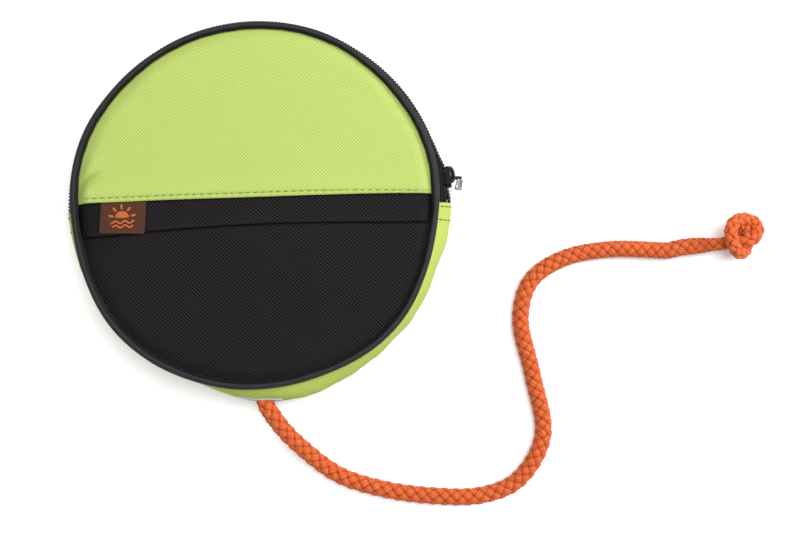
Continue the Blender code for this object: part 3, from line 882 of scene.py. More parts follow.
BAND_END_Y = 9.0                        # the band ends where the panel circle is this far from y = 0
BAND_END_X = math.sqrt(PANEL_RADIUS ** 2 - BAND_END_Y ** 2) - 0.2
place(band_half("pocket_band_left", -BAND_END_X, 0.0), "black_fabric", BAND_LEFT, "pocket_band")
place(band_half("pocket_band_right", 0.0, BAND_END_X), "black_fabric", BAND_RIGHT)


# ------------------------------------------------------------------ stitches
def stitch(build, start, end, normal, width, height, sink):
    """One lockstitch: a plump little bar whose ends dive into the cloth."""
    start, end, normal = Vector(start), Vector(end), Vector(normal).normalized()
    along = (end - start).normalized()
    across = normal.cross(along).normalized()
    rows, cols = 7, 8
    verts = []
    for i in range(rows):
        share = i / (rows - 1)
        swell = math.sin(math.pi * (0.06 + 0.88 * share))
        centre = start.lerp(end, share) + normal * (height * (swell ** 0.6) * 0.55 - sink)
        size = 0.5 * (0.35 + 0.65 * swell)
        for j in range(cols):
            turn = TAU * j / cols
            verts.append(list(centre + across * (width * size * math.cos(turn))
                              + normal * (height * size * math.sin(turn))))
    build.add(verts, rows, cols)


def side_stitch(build, start, end, width, height, sink, lean=0.0):
    """A stitch on the side of the bag between two (radius, angle, z)."""
    normal = polar(1.0, (start[1] + end[1]) / 2, lean)
    stitch(build, warped(polar(*start)), warped(polar(*end)), normal, width, height, sink)


def upper_normal(x, y, reach=0.4):
    slope_x = float(upper_surface(x + reach, y) - upper_surface(x - reach, y)) / (2 * reach)
    slope_y = float(upper_surface(x, y + reach) - upper_surface(x, y - reach)) / (2 * reach)
    return Vector((-slope_x, -slope_y, 1.0))


def hem_stitching():
    build = Build()
    x = -84.5
    i = 0
    while x < 85.0:
        # no two stitches are quite alike in pitch, length and slant
        pitch = 3.8 + 0.25 * math.sin(i * 1.7)
        end_x = x + pitch * (0.66 + 0.08 * math.sin(i * 2.9))
        slant = 0.10 * math.sin(i * 1.3)
        y = float(hem_y(x) + stitch_gap(x)) + slant
        end_y = float(hem_y(end_x) + stitch_gap(end_x)) - slant
        stitch(build, warped((x, y, upper_surface(x, y))),
               warped((end_x, end_y, upper_surface(end_x, end_y))),
               upper_normal((x + end_x) / 2, (y + end_y) / 2),
               width=0.52, height=0.36, sink=0.10)
        x += pitch
        i += 1
    return build.obj("hem_stitching", HEM_THREAD)


place(hem_stitching(), "lime_fabric", "bag")

# ------------------------------------------------------------------ label
LABEL_CORNERS = ((-78.4, -9.9), (-55.8, -11.1), (-54.0, 6.2), (-76.3, 6.4))
EMBLEM_X, EMBLEM_Y = -66.4, -2.6


def label_surface(x, y):
    free = 1.0 - np.clip((y + 11.5) / 16.0, 0, 1)                   # 1 at the free lower edge
    z = base_height(x, np.maximum(y, -10.0)) + 1.25 + 0.40 * free ** 2
    z = z + 0.16 * np.sin((x + 79.0) / 23.0 * 5.0) * free
    return z - 1.35 * smooth_step((y - 4.2) / 1.6)     # its top edge is caught under the hem


outline = []
for i in range(4):
    (start_x, start_y), (end_x, end_y) = LABEL_CORNERS[i], LABEL_CORNERS[(i + 1) % 4]
    count = 28 if i % 2 == 0 else 20
    outline += [(start_x + (end_x - start_x) * k / count, start_y + (end_y - start_y) * k / count)
                for k in range(count)]
label = sheet("woven_label_cloth", outline, hex_grid(-79, -53, -12, 7, 0.9), label_surface,
              thick=0.45, material=LABEL_CLOTH, edge=0.25)
place(label, "label_weave", BAND_LEFT, "woven_label")


def satin(build, points, width, height):
    """A raised band of satin stitch on the label that follows (x, y) from the emblem's centre."""
    points = np.array(points, float) + (EMBLEM_X, EMBLEM_Y)
    along = np.roll(points, -1, 0) - np.roll(points, 1, 0)
    along[0], along[-1] = points[1] - points[0], points[-1] - points[-2]
    along = unit(along)
    side = np.column_stack([-along[:, 1], along[:, 0]])
    rows, cols = len(points), 8
    verts, uv = [], []
    for i, run in enumerate(arc_length(points)):
        size = 0.5 * min(1.0, 0.25 + min(i, rows - 1 - i) * 0.35)       # tapered ends
        for j in range(cols):
            turn = TAU * j / cols
            x, y = points[i] + side[i] * width * size * math.cos(turn)
            z = float(label_surface(x, y)) + height * size * math.sin(turn) + 0.02
            verts.append((x, y, z))
            uv.append((j, run))
    build.add(warp(verts), rows, cols, uv=uv)


def label_emblem():
    """A half sun of nested arcs, with five rays, over two waves."""
    build = Build()
    sun_y = -0.2
    for radius in (0.5, 1.4, 2.3, 3.0):
        points = [(radius * math.cos(turn), sun_y + radius * math.sin(turn))
                  for turn in np.linspace(0, math.pi, 24)]
        satin(build, points, width=1.10, height=0.34)
    for turn in np.radians((12, 51, 90, 129, 168)):
        points = [(radius * math.cos(turn), sun_y + radius * math.sin(turn))
                  for radius in np.linspace(4.2, 7.0, 12)]
        satin(build, points, width=1.10, height=0.32)
    for wave_y, half in ((-2.2, 6.2), (-4.3, 5.2)):
        points = [(x, wave_y + 0.60 * math.sin(x * 1.35)) for x in np.linspace(-half, half, 52)]
        satin(build, points, width=0.85, height=0.30)
    return build.obj("label_emblem", EMBLEM)


place(label_emblem(), "label_weave", BAND_LEFT)

# ------------------------------------------------------------------ gusset
GUSSET_LOW_Z, GUSSET_HIGH_Z = 4.3, 27.9
# (angle, bulge beyond the even one)
BULGE = (
    (176, 0.0), (200, -1.0), (240, -2.8), (252, -2.1), (259, -0.1), (266, 1.1), (272, 1.6),
    (280, 2.5), (287, 1.6), (295, 0.5), (306, -0.3), (312, -0.9), (318, -0.7), (330, -0.4),
    (338, -1.0), (345, -0.2), (350, 0.5), (364, 0.5))


def gusset_line(angle, count=22):
    """The bulged side of the bag at an angle, back to front, as (radius, z)."""
    turn = math.radians(angle)
    bulge = 6.1 + float(lookup(angle, BULGE)) + 0.12 * math.sin(8 * turn + 2.0)
    run = turn * UV_RADIUS
    points = []
    for i in range(count):
        share = i / (count - 1)
        z = GUSSET_LOW_Z + (GUSSET_HIGH_Z - GUSSET_LOW_Z) * share
        arch = math.sin(math.pi * share)
        lump = (noise.noise(Vector((run / 9.0, z / 14.0, 3.7)))
                + 0.5 * noise.noise(Vector((run / 4.0, z / 7.0, 9.1))))
        ripple = (0.16 * math.sin(11 * turn + 5.0 * share)
                  + 0.10 * math.sin(31 * turn - 4.0 * share) + 0.42 * lump)
        points.append((90.9 + bulge * arch ** 0.72 + ripple * arch, z))
    return points


def gusset_radius(angle, z, count):
    radii, heights = zip(*gusset_line(angle, count))
    return float(np.interp(z, heights, radii))


def end_lift(angle):
    """The fabric is rolled where it is folded over the ends of the zip."""
    distance = min(abs(angle - GUSSET_START), abs(angle - GUSSET_END))
    return 0.55 * math.exp(-(distance / 2.6) ** 2) if distance < 9 else 0.0


def gusset_profile(angle):
    lift = end_lift(angle)
    return cloth_strip([(radius + lift, z) for radius, z in gusset_line(angle)], thick=0.9)


gusset = around("gusset_fabric", gusset_profile, LIME_SIDE_PAINTED_LIGHTER, 0.6, GUSSET_START, GUSSET_END)
place(gusset, "lime_fabric", "bag", "gusset_lower")

# ------------------------------------------------------------------ piping
PIPING_COLS = 40
PIPING_OUTER_RADIUS = 92.25


def piping_painted_light_and_shade(facing):
    """Painted shade round the cord: dark in the crease beside the panel and on its outer side, with a
    painted highlight along the crown.
    """
    values = []
    for i in range(PIPING_COLS):
        turn = TAU * i / PIPING_COLS
        out, rise = math.cos(turn), math.sin(turn) * facing
        value = 0.93 * smooth_step((-out - 0.26) / 0.32)
        value -= 0.16 * bell(out - 0.05, 0.38) * (rise > 0)
        value += 0.30 * smooth_step((out - 0.62) / 0.30)
        values.append(value)
    return values


def piping_profile(centre_z, facing):
    """Cord round a panel that faces +Z (facing 1) or -Z (facing -1)."""
    groove_turn = math.radians(180.0 - facing * 38.0)

    def profile(angle):
        rad = math.radians(angle)
        tube = (1.88 + 0.20 * math.cos(rad - math.radians(250.0))
                + 0.22 * bell(wrap(angle - 3.0, 360.0), 18.0)           # fuller near the slider
                + 0.05 * math.sin(23 * rad) + 0.04 * math.sin(57 * rad + 1.0))
        centre = PIPING_OUTER_RADIUS - tube
        points = []
        for i in range(PIPING_COLS):
            turn = TAU * i / PIPING_COLS
            # crease where the cover is stitched against the panel
            groove = 0.34 * bell(wrap(turn - groove_turn, TAU), 0.24)
            radius = tube - groove + 0.05 * math.sin(2 * turn + 17 * rad)
            points.append((centre + radius * math.cos(turn), centre_z + radius * math.sin(turn)))
        return points
    return profile


piping = around("front_piping_cord", piping_profile(PIPING_FRONT_Z, 1.0), PIPING, 0.75,
                painted_shading=piping_painted_light_and_shade(1.0))
place(piping, "piping_fabric", BAG_TO_FLAP, "front_piping_upper", "front_piping_lower")
piping = around("back_piping_cord", piping_profile(PIPING_BACK_Z, -1.0), PIPING, 1.0,
                painted_shading=piping_painted_light_and_shade(-1.0))
place(piping, "piping_fabric", "bag", "back_piping")

# ------------------------------------------------------------------ back and inner wall
back = sheet("back_fabric", ring_points(89.0, 0, 358, 2.2), hex_grid(-88, 88, -88, 88, 3.2),
             lambda x, y: 1.9 - 0.15 * np.cos(np.hypot(x, y) / 20.0),
             thick=1.5, material=BLACK, edge=0.6)
place(back, "black_fabric", "bag", "back_panel")

wall = sheet("pocket_inner_wall",
             cut_disc(level(15.5), 87.6, arc_step=2.5, line_step=2.5, upper=False),
             hex_grid(-88, 88, -88, 16, 3.4),
             lambda x, y: 27.2 - 0.9 * smooth_step((86.0 - np.hypot(x, y)) / 20.0),
             thick=0.8, material=LINING, edge=0.5)
place(wall, "black_fabric", "bag", "front_backing_panel")


# ------------------------------------------------------------------ seam bindings
def binding_profile(low, high):
    """A rounded box between two heights, just inside the seam."""
    def profile(angle):
        radius = 88.0 + 0.12 * math.sin(19 * math.radians(angle))
        points = []
        for i in range(14):
            turn = TAU * i / 14
            points.append((radius + 0.75 * signed_power(math.cos(turn), 0.6),
                           (low + high) / 2 + (high - low) / 2 * signed_power(math.sin(turn), 0.6)))
        return points
    return profile


binding = around("front_seam_binding_tape", binding_profile(24.4, 26.8), TAPE, 2.0)
place(binding, "black_fabric", BAG_TO_FLAP,
      "front_seam_binding_upper", "front_seam_binding_lower")
binding = around("back_seam_binding_tape", binding_profile(4.9, 7.3), TAPE, 2.0)
place(binding, "black_fabric", "bag", "back_seam_binding")

# ------------------------------------------------------------------ zip
TAPE_RADIUS = 95.3
TAPE_CROWN = TAPE_RADIUS + 0.05
# (angle, how far the closed zip draws the side in); nothing where the slider sits
TUCK = (
    (-6.0, -0.7), (1.0, -0.6), (3.2, 0.0), (10.4, 0.0), (14.0, 1.3), (20.0, 2.1), (55.0, 2.1),
    (66.0, 1.7), (120.0, 1.5), (140.0, 0.8), (156.0, 0.2), (166.0, 0.0), (186.0, 0.0))
# (radius, height above the zip line)
FRONT_TAPE = (
    (TAPE_RADIUS, 0.5), (TAPE_CROWN, 2.2), (TAPE_RADIUS, 3.8), (95.0, 5.6), (94.2, 7.8),
    (93.0, 9.8), (91.6, 11.4), (90.6, 12.4))
BACK_TAPE = (
    (90.6, -12.2), (91.6, -11.2), (93.0, -9.6), (94.2, -7.6), (95.0, -5.6),
    (TAPE_RADIUS, -3.8), (TAPE_CROWN, -2.2), (TAPE_RADIUS, -0.5))
# name, side of the zip line, what moves it
ZIP_SIDES = (("front", 1, BAG_TO_FLAP), ("back", -1, "bag"))


def tuck(angle, z=ZIP_Z):
    return float(lookup(angle, TUCK) * smooth_step((12.5 - abs(z - ZIP_Z)) / 9.0))


def tape_profile(line):
    return lambda angle: cloth_strip(
        [(radius - tuck(angle, ZIP_Z + rise), ZIP_Z + rise) for radius, rise in line], thick=0.55)


for name, line, motion, ends in (
        ("front", FRONT_TAPE, BAG_TO_FLAP, ("_right_end", "_left_end")),
        ("back", BACK_TAPE, "bag", ())):
    tape = around(f"zip_tape_{name}_cloth", tape_profile(line), TAPE, 1.2, ZIP_START, ZIP_END)
    place(tape, "zip_tape", motion, *(f"zip_tape_{name}{end}" for end in ("",) + ends))


def zip_coil(name, side):
    """One nylon coil: a flattened helix wound on a filler cord along the edge of its tape."""
    pitch = math.degrees(1.72 / 96.6)
    turns = int((ZIP_END - ZIP_START - 2.4) / pitch)
    per_turn, cols = 18, 6
    wire = 0.42
    half_width, half_height = 1.95, 0.62
    centre_z = ZIP_Z + side * 1.35
    path = []
    for i in range(turns * per_turn + 1):
        wound = i / per_turn
        angle = ZIP_START + 1.2 + pitch * (wound + (0.5 if side < 0 else 0.0))
        across = half_width * signed_power(math.cos(TAU * wound), 0.7)
        out = half_height * signed_power(math.sin(TAU * wound), 0.8)
        path.append(polar(96.55 + out - tuck(angle), angle, centre_z - side * across))
    path = np.array(path)
    along = unit(np.gradient(path, axis=0))
    outwards = unit(path * (1.0, 1.0, 0.0))
    binormal = np.cross(along, outwards)
    binormal[np.linalg.norm(binormal, axis=1) < 0.2] = (0, 0, 1.0)
    binormal = unit(binormal)
    normal = np.cross(binormal, along)
    rings = [path + wire * (math.cos(TAU * j / cols) * normal + math.sin(TAU * j / cols) * binormal)
             for j in range(cols)]
    build = Build()
    build.add(np.stack(rings, 1).reshape(-1, 3), len(path), cols)
    rows, cols = 240, 10
    cord = []
    for angle in np.linspace(ZIP_START + 0.6, ZIP_END - 0.6, rows):
        for j in range(cols):
            turn = TAU * j / cols
            cord.append(polar(96.4 - tuck(angle) + 0.70 * math.cos(turn), angle,
                              centre_z + 1.75 * math.sin(turn)))
    build.add(cord, rows, cols)
    return build.obj(name, COIL)


for name, side, motion in ZIP_SIDES:
    ends = ("", "_right_end", "_left_end") if side > 0 else ("",)
    place(zip_coil(f"zip_coil_{name}_nylon", side), "zip_coil", motion,
          *(f"zip_coil_{name}{end}" for end in ends))


def zip_stitch_row(name, z):
    """Stitches along one tape, at one height."""
    build = Build()
    angle = ZIP_START + 2
    pitch = math.degrees(2.6 / UV_RADIUS)
    i = 0
    while angle + pitch < ZIP_END - 2:
        end = angle + pitch * (0.72 + 0.05 * math.sin(i * 2.3))
        side_stitch(build, (TAPE_CROWN - tuck(angle, z), angle, z),
                    (TAPE_CROWN - tuck(end, z), end, z),
                    width=0.5, height=0.35, sink=0.08, lean=0.15)
        angle += pitch
        i += 1
    return build.obj(name, BLACK_THREAD)


for name, side, motion in ZIP_SIDES:
    row = zip_stitch_row(f"zip_stitch_row_{name}", ZIP_Z + side * 4.95)
    place(row, "zip_tape", motion)


def gusset_end_stitching(name, angles):
    """Rows of stitches across the gusset where it is sewn over an end of the zip."""
    build = Build()
    for angle in angles:
        z = 6.0
        while z < 26.0:
            start, end = ((gusset_radius(angle, height, 60) + end_lift(angle), angle, height)
                          for height in (z, z + 1.9))
            side_stitch(build, start, end, width=0.85, height=0.50, sink=0.12)
            z += 2.7
    return build.obj(name, GUSSET_THREAD)


for name, angles in (("right", (357.9, 353.8)), ("left", (180.8, 185.0))):
    place(gusset_end_stitching("gusset_end_stitching_" + name, angles), "lime_fabric", "bag")


def end_stop(name, angle):
    """A small bar across both coils."""
    rows, cols = 7, 12
    verts = []
    for i in range(rows):
        z = ZIP_Z + (-2.7 + 5.4 * i / (rows - 1))
        half_width = 0.42 * (1.0 - 0.25 * abs(i - 3) / 3)
        for j in range(cols):
            turn = TAU * j / cols
            across = math.degrees(half_width * math.sin(turn) / 96.0)
            verts.append(polar(96.5 + 0.75 * math.cos(turn), angle + across, z))
    build = Build()
    build.add(verts, rows, cols)
    return build.obj(name, SLIDER_PAINT)


for name, angle in (("right", -1.2), ("left", 181.2)):
    place(end_stop("zip_end_stop_" + name, angle), "tab_metal", "bag", "zip_stop_" + name)

# ------------------------------------------------------------------ slider
SLIDER_TURN = math.atan2(TAB_PIN.y, TAB_PIN.x)         # in radians
TRACK_RADIUS = 97.5
# (along, across) of the post that joins the plates
POST = ((-4.0, -0.3), (-3.2, -0.75), (-1.4, -0.7), (-0.2, 0.0), (-1.4, 0.7), (-3.2, 0.75),
        (-4.0, 0.3))


def slider_point(radius, along, across):
    """From slider axes to the bag frame: from the bag's axis, anticlockwise on the track, +Z."""
    turn = SLIDER_TURN + along / TRACK_RADIUS
    return np.array([radius * math.cos(turn), radius * math.sin(turn), ZIP_Z + across])


def outer_section(half, tip):
    """Outer plate as (radius, across): a crowned top and two flanges that grip the coils."""
    crown = 99.15 - 0.25 * (1 - tip)
    shares = np.linspace(-1.0, 1.0, 9)
    flange = [(95.9, half), (95.7, half - 0.25), (95.8, half - 0.8), (97.7, half - 0.9)]
    return ([(crown - 0.55 * abs(share) ** 3, half * share) for share in shares] + flange
            + [(98.0, -(half - 1.0) * share) for share in shares]
            + [(radius, -across) for radius, across in flange[::-1]])


def inner_section(half, tip):
    """Inner plate as (radius, across): a lens without flanges, whatever the tip."""
    shares = np.linspace(-1.0, 1.0, 9)
    return ([(94.5 - 0.15 * abs(share) ** 3, half * share) for share in shares]
            + [(93.3 + 0.25 * abs(share) ** 3, -half * share) for share in shares])


def add_plate(build, section):
    """A plate lofted along the travel: wide shoulders at one end, a narrow tail at the other."""
    rows = 21
    verts = []
    for i in range(rows):
        share = i / (rows - 1)
        rounding = max(0.0, (abs(share - 0.5) - 0.36) / 0.14)
        tip = math.sqrt(max(0.0, 1.0 - rounding ** 2)) * 0.72 + 0.28
        half = (4.35 - 0.95 * float(smooth_step((share - 0.35) / 0.5))) * tip
        verts += [slider_point(radius, -4.6 + 11.0 * share, across)
                  for radius, across in section(half, tip)]
    build.add(verts, rows, len(verts) // rows)


def add_bar(build, path, half_ref, half_cross, ref, cols, closed=False, taper=None):
    """A bent bar along a path, with its half sizes along the ref direction and across it."""
    path, ref = np.asarray(path, float), np.asarray(ref, float)
    if closed:
        along = np.roll(path, -1, 0) - np.roll(path, 1, 0)
    else:
        along = np.gradient(path, axis=0)
    along = unit(along)
    side = unit(ref[None, :] - along * (along @ ref)[:, None])
    cross = np.cross(along, side)
    verts = []
    for i in range(len(path)):
        scale = 1.0 if taper is None else taper(i / (len(path) - 1))
        for j in range(cols):
            turn = TAU * j / cols
            verts.append(path[i]
                         + side[i] * half_ref * scale * signed_power(math.cos(turn), 0.75)
                         + cross[i] * half_cross * scale * signed_power(math.sin(turn), 0.75))
    build.add(verts, len(path), cols, closed)


def slider_casting():
    build = Build()
    add_plate(build, outer_section)
    add_plate(build, inner_section)
    post = [slider_point(radius, along, across) for radius in (94.2, 98.2)
            for along, across in POST]
    build.add(post, 2, len(POST))
    return build.obj("slider_casting", SLIDER_DULL)


def slider_arch():
    """The arch that holds the pull tab and the raised crown of the outer plate under it."""
    build = Build()
    path = []
    for i in range(29):
        turn = math.pi * (i / 28.0)
        path.append(slider_point(98.4 + 2.75 * math.sin(turn) ** 0.6,
                                 1.9 - 3.6 * math.cos(turn), 0.0))
    add_bar(build, path, half_ref=1.60, half_cross=0.88, ref=(0.0, 0.0, 1.0), cols=16,
            taper=lambda share: 1.0 - 0.18 * math.sin(math.pi * share) ** 4)
    rows, cols = 10, 20
    crown = []
    for i in range(rows):
        rise = i / rows
        size = math.sqrt(1.0 - rise ** 2)
        for j in range(cols):
            turn = TAU * j / cols
            crown.append(slider_point(98.6 + 1.9 * rise ** 0.8, 4.3 * size * math.cos(turn) + 1.9,
                                      3.0 * size * math.sin(turn)))
    build.add(crown, rows, cols)
    return build.obj("slider_arch", SLIDER_PAINT)


place(slider_casting(), "slider_metal", "zip_slider", "slider_body")
place(slider_arch(), "slider_metal", "zip_slider")

# ------------------------------------------------------------------ pull tab
PIN = np.array(list(TAB_PIN))


def pull_tab_eye():
    """A wire loop through the arch."""
    out = unit((0.995, -0.05, -0.09))
    up = np.array([0.10, 0.05, 0.99])
    up = unit(up - out * (up @ out))
    path = []
    for i in range(56):
        turn = TAU * i / 56
        path.append(PIN + np.array([0.0, 0.25, 0.0])
                    + out * (2.25 + 2.60 * signed_power(math.cos(turn), 0.8))
                    + up * 2.2 * signed_power(math.sin(turn), 0.7))
    build = Build()
    add_bar(build, path, half_ref=0.66, half_cross=0.66, ref=np.cross(out, up), cols=10,
            closed=True)
    return build.obj("pull_tab_eye", SLIDER_PAINT)


def pull_tab_grip():
    """A moulded grip that hangs from the eye towards -Y."""
    length = 6.1
    tilt = math.radians(46.0)
    along = unit((-0.221, -0.975, -0.08))
    wide = (np.array([0.975, -0.221, 0.0]) * math.cos(tilt)
            + np.array([0.0, 0.0, -1.0]) * math.sin(tilt))
    wide = unit(wide - along * (wide @ along))
    thick = np.cross(wide, along)
    origin = PIN + np.array([4.45, -0.40, 0.1])
    rows, cols = 19, 28
    verts = []
    for i in range(rows):
        share = i / (rows - 1)
        full = max(0.0, 1.0 - (2 * share - 1.0) ** 8) ** 0.5       # rounds off both ends
        half_width = (2.05 + 0.35 * share) * (0.30 + 0.70 * full)
        half_thick = (0.95 - 0.30 * math.sin(math.pi * share)) * (0.25 + 0.75 * full)
        for j in range(cols):
            turn = TAU * j / cols
            x = half_width * signed_power(math.cos(turn), 0.55)
            y = half_thick * signed_power(math.sin(turn), 0.6)
            if 0.22 < share < 0.86 and abs(x) < 1.3:
                y -= math.copysign(0.22, y)            # shallow panel pressed into each face
            verts.append(origin + along * (length * share) + wide * x + thick * y)
    build = Build()
    build.add(verts, rows, cols)
    return build.obj("pull_tab_grip", TAB_METAL)


place(pull_tab_eye(), "slider_metal", "zip_pull_tab")
place(pull_tab_grip(), "tab_metal", "zip_pull_tab", "pull_tab")


# ------------------------------------------------------------------ patch where the rope leaves
def patch_profile(angle):
    edge = min(angle - PATCH_START, PATCH_END - angle)
    lift = 0.34 * min(1.0, 0.3 + edge / 0.8)
    line = [(radius + lift, z) for radius, z in gusset_line(angle, 40) if 8.4 < z < 21.2]
    return cloth_strip(line, thick=0.7)


def patch_stitching():
    build = Build()
    for z in (9.8, 19.6):
        angle = 261.6
        while angle < 273.0:
            radius = gusset_radius(angle, z, 40) + 0.36
            side_stitch(build, (radius, angle, z), (radius, angle + 1.35, z),
                        width=0.5, height=0.34, sink=0.08)
            angle += 1.9
    return build.obj("rope_exit_stitching", GREY_THREAD)


patch = around("rope_exit_tape", patch_profile, PATCH, 0.4, PATCH_START, PATCH_END)
place(patch, "patch_fabric", "bag", "rope_exit_patch")
place(patch_stitching(), "patch_fabric", "bag")

# ------------------------------------------------------------------ rope path
# (x, y) from inside the bag to the knot
ROPE_LAY = (
    (-1.5, -80.0), (-1.5, -90.0), (-1.5, -99.0), (4.0, -109.5), (13.0, -121.5), (32.0, -139.0),
    (54.5, -148.0), (84.0, -153.5), (109.0, -154.0), (127.5, -147.0), (141.5, -125.0),
    (137.5, -92.0), (132.5, -62.5), (138.5, -43.5), (155.5, -32.5), (180.0, -28.5),
    (211.5, -30.5))
EXIT = 2                                # station at which lengths along the rope start
LAY_STEPS = 24
KNOT_STEPS = 12
FLOOR_CENTRE_Z = 4.7                    # height of the rope's centre where it lies on the floor
KNOT = np.array((248.0, -24.2, 0.0))
# (x, y, z) from KNOT: the overhand knot, tied loosely
LOOSE_KNOT = (
    (-26, -5.2, 4.7), (-18, -4.9, 5.0), (-10, -4.6, 6.0), (-2.0, -5.5, 10.0), (6.0, -5.2, 13.5),
    (11.5, 0.5, 12.5), (9.0, 8.0, 10.5), (0.5, 10.5, 11.5), (-7.5, 7.5, 16.0), (-9.0, -1.0, 19.0),
    (-5.0, -9.0, 15.0), (2.0, -11.5, 8.0), (6.5, -7.0, 4.6), (5.0, -0.5, 6.5), (2.2, 3.0, 11.0),
    (-0.5, 5.6, 13.0))
ROPE_STEP = 0.46


def spline(points, steps):
    """Centripetal Catmull-Rom curve, with the given steps between two points."""
    points = [np.array(point, float) for point in points]
    points = [2 * points[0] - points[1]] + points + [2 * points[-1] - points[-2]]
    curve = []
    for i in range(1, len(points) - 2):
        span = points[i - 1:i + 3]
        times = [0.0]
        for start, end in zip(span, span[1:]):
            times.append(times[-1] + math.sqrt(np.linalg.norm(end - start)))

        def between(first, second, m, n):
            return first + (second - first) * (time - times[m]) / (times[n] - times[m])

        for k in range(steps):
            time = times[1] + (times[2] - times[1]) * k / steps
            low, middle, high = [between(span[n], span[n + 1], n, n + 1) for n in range(3)]
            low, high = between(low, middle, 0, 2), between(middle, high, 1, 3)
            curve.append(between(low, high, 1, 2))
    curve.append(points[-2])
    return np.array(curve)


def resample(points, step):
    run = arc_length(points)
    stations = np.linspace(0, run[-1], int(round(run[-1] / step)) + 1)
    return np.column_stack([np.interp(stations, run, points[:, k]) for k in range(3)])


def tighten(points, radius, rounds=260, fixed=6):
    """Shortens the knotted length while the strands keep their thickness and stay above the
    ground; the first points, fixed in number, stay in place."""
    points = points.copy()
    order = np.arange(len(points))
    gap = np.abs(order[:, None] - order[None, :])
    start_step = np.mean(np.linalg.norm(np.diff(points, axis=0), axis=1))
    contact = radius * 2.0
    for i in range(rounds):
        step = start_step * (1.0 - 0.16 * min(1.0, i / 160.0))
        # bending: towards the mean of the neighbours
        eased = points.copy()
        eased[1:-1] += 0.20 * (0.5 * (points[:-2] + points[2:]) - points[1:-1])
        points[fixed:] = eased[fixed:]
        # contact between strands, then with the ground
        offset = points[:, None, :] - points[None, :, :]
        distance = np.linalg.norm(offset, axis=2) + 1e-9
        close = (gap * step > contact * 1.45) & (distance < contact)
        push = np.where(close, (contact - distance) / distance * 0.25, 0.0)
        points[fixed:] += (offset * push[:, :, None]).sum(axis=1)[fixed:] * 0.5
        points[:, 2] = np.maximum(points[:, 2], radius + 0.1)
        # length
        for _ in range(6):
            segment = points[1:] - points[:-1]
            length = np.linalg.norm(segment, axis=1, keepdims=True)
            fix = 0.5 * segment * (length - step) / length
            free = (order[1:-1] >= fixed)[:, None]
            points[1:-1] += np.where(free, -fix[:-1] + fix[1:], 0.0)
            points[-1] -= fix[-1]
    return points


def rope_path(knot_path):
    """Centre line from inside the bag to the cut end."""
    lay = spline([(x, y, 0.0) for x, y in ROPE_LAY], LAY_STEPS)
    run = arc_length(lay)
    run -= run[EXIT * LAY_STEPS]
    lay[:, 2] = ZIP_Z + (FLOOR_CENTRE_Z - ZIP_Z) * smooth_step((run - 2.0) / 50.0)
    start, end = lay[-1], knot_path[0]
    bridge = spline([start, (start + end) / 2 + np.array([0, 0.3, 0.0]), end], KNOT_STEPS)
    path = resample(np.vstack([lay[:-1], bridge[:-1], knot_path]), ROPE_STEP)
    for _ in range(6):
        path[1:-1] = 0.25 * path[:-2] + 0.5 * path[1:-1] + 0.25 * path[2:]
    return path


def transport(path):
    """Directions along and across the path, carried along it without twist."""
    along = unit(np.gradient(path, axis=0))
    normal = np.zeros_like(along)
    normal[0] = unit(np.cross((0, 0, 1.0), along[0]))
    for i in range(1, len(path)):
        axis = np.cross(along[i - 1], along[i])
        size = np.linalg.norm(axis)
        carried = normal[i - 1]
        if size > 1e-9:
            axis /= size
            turn = math.acos(float(np.clip(along[i - 1] @ along[i], -1, 1)))
            carried = (carried * math.cos(turn) + np.cross(axis, carried) * math.sin(turn)
                       + axis * (axis @ carried) * (1 - math.cos(turn)))
        normal[i] = unit(carried - along[i] * (carried @ along[i]))
    return along, normal, np.cross(along, normal)


knot_path = resample(spline([np.array(point) + KNOT for point in LOOSE_KNOT], KNOT_STEPS), 1.6)
knot_path = tighten(knot_path, radius=3.3)
knot_path[:, 1] = -23.0 + (knot_path[:, 1] + 23.0) * 0.90          # slightly flatter in y
PATH = rope_path(knot_path)
RUN = arc_length(PATH)
RUN -= RUN[nearest(PATH[:, :2], ROPE_LAY[EXIT])]
ROPE_END = RUN[-1]
KNOT_START = float(RUN[nearest(PATH, knot_path[0])]) + 2.0
ALONG, NORMAL, BINORMAL = transport(PATH)

# ------------------------------------------------------------------ braid
SQUEEZE = 1.0 - 0.22 * smooth_step((RUN - KNOT_START) / 12.0)      # thinner in the knot
# (length along the rope, length of one turn of the braid)
BRAID_LEAD = ((60.0, 24.8), (120.0, 24.0), (180.0, 22.0), (235.0, 20.6))
PHASE = np.r_[0, np.cumsum(TAU * ROPE_STEP / lookup(RUN, BRAID_LEAD)[1:])]
STRAND_COLS = 18
CORE_COLS = 12


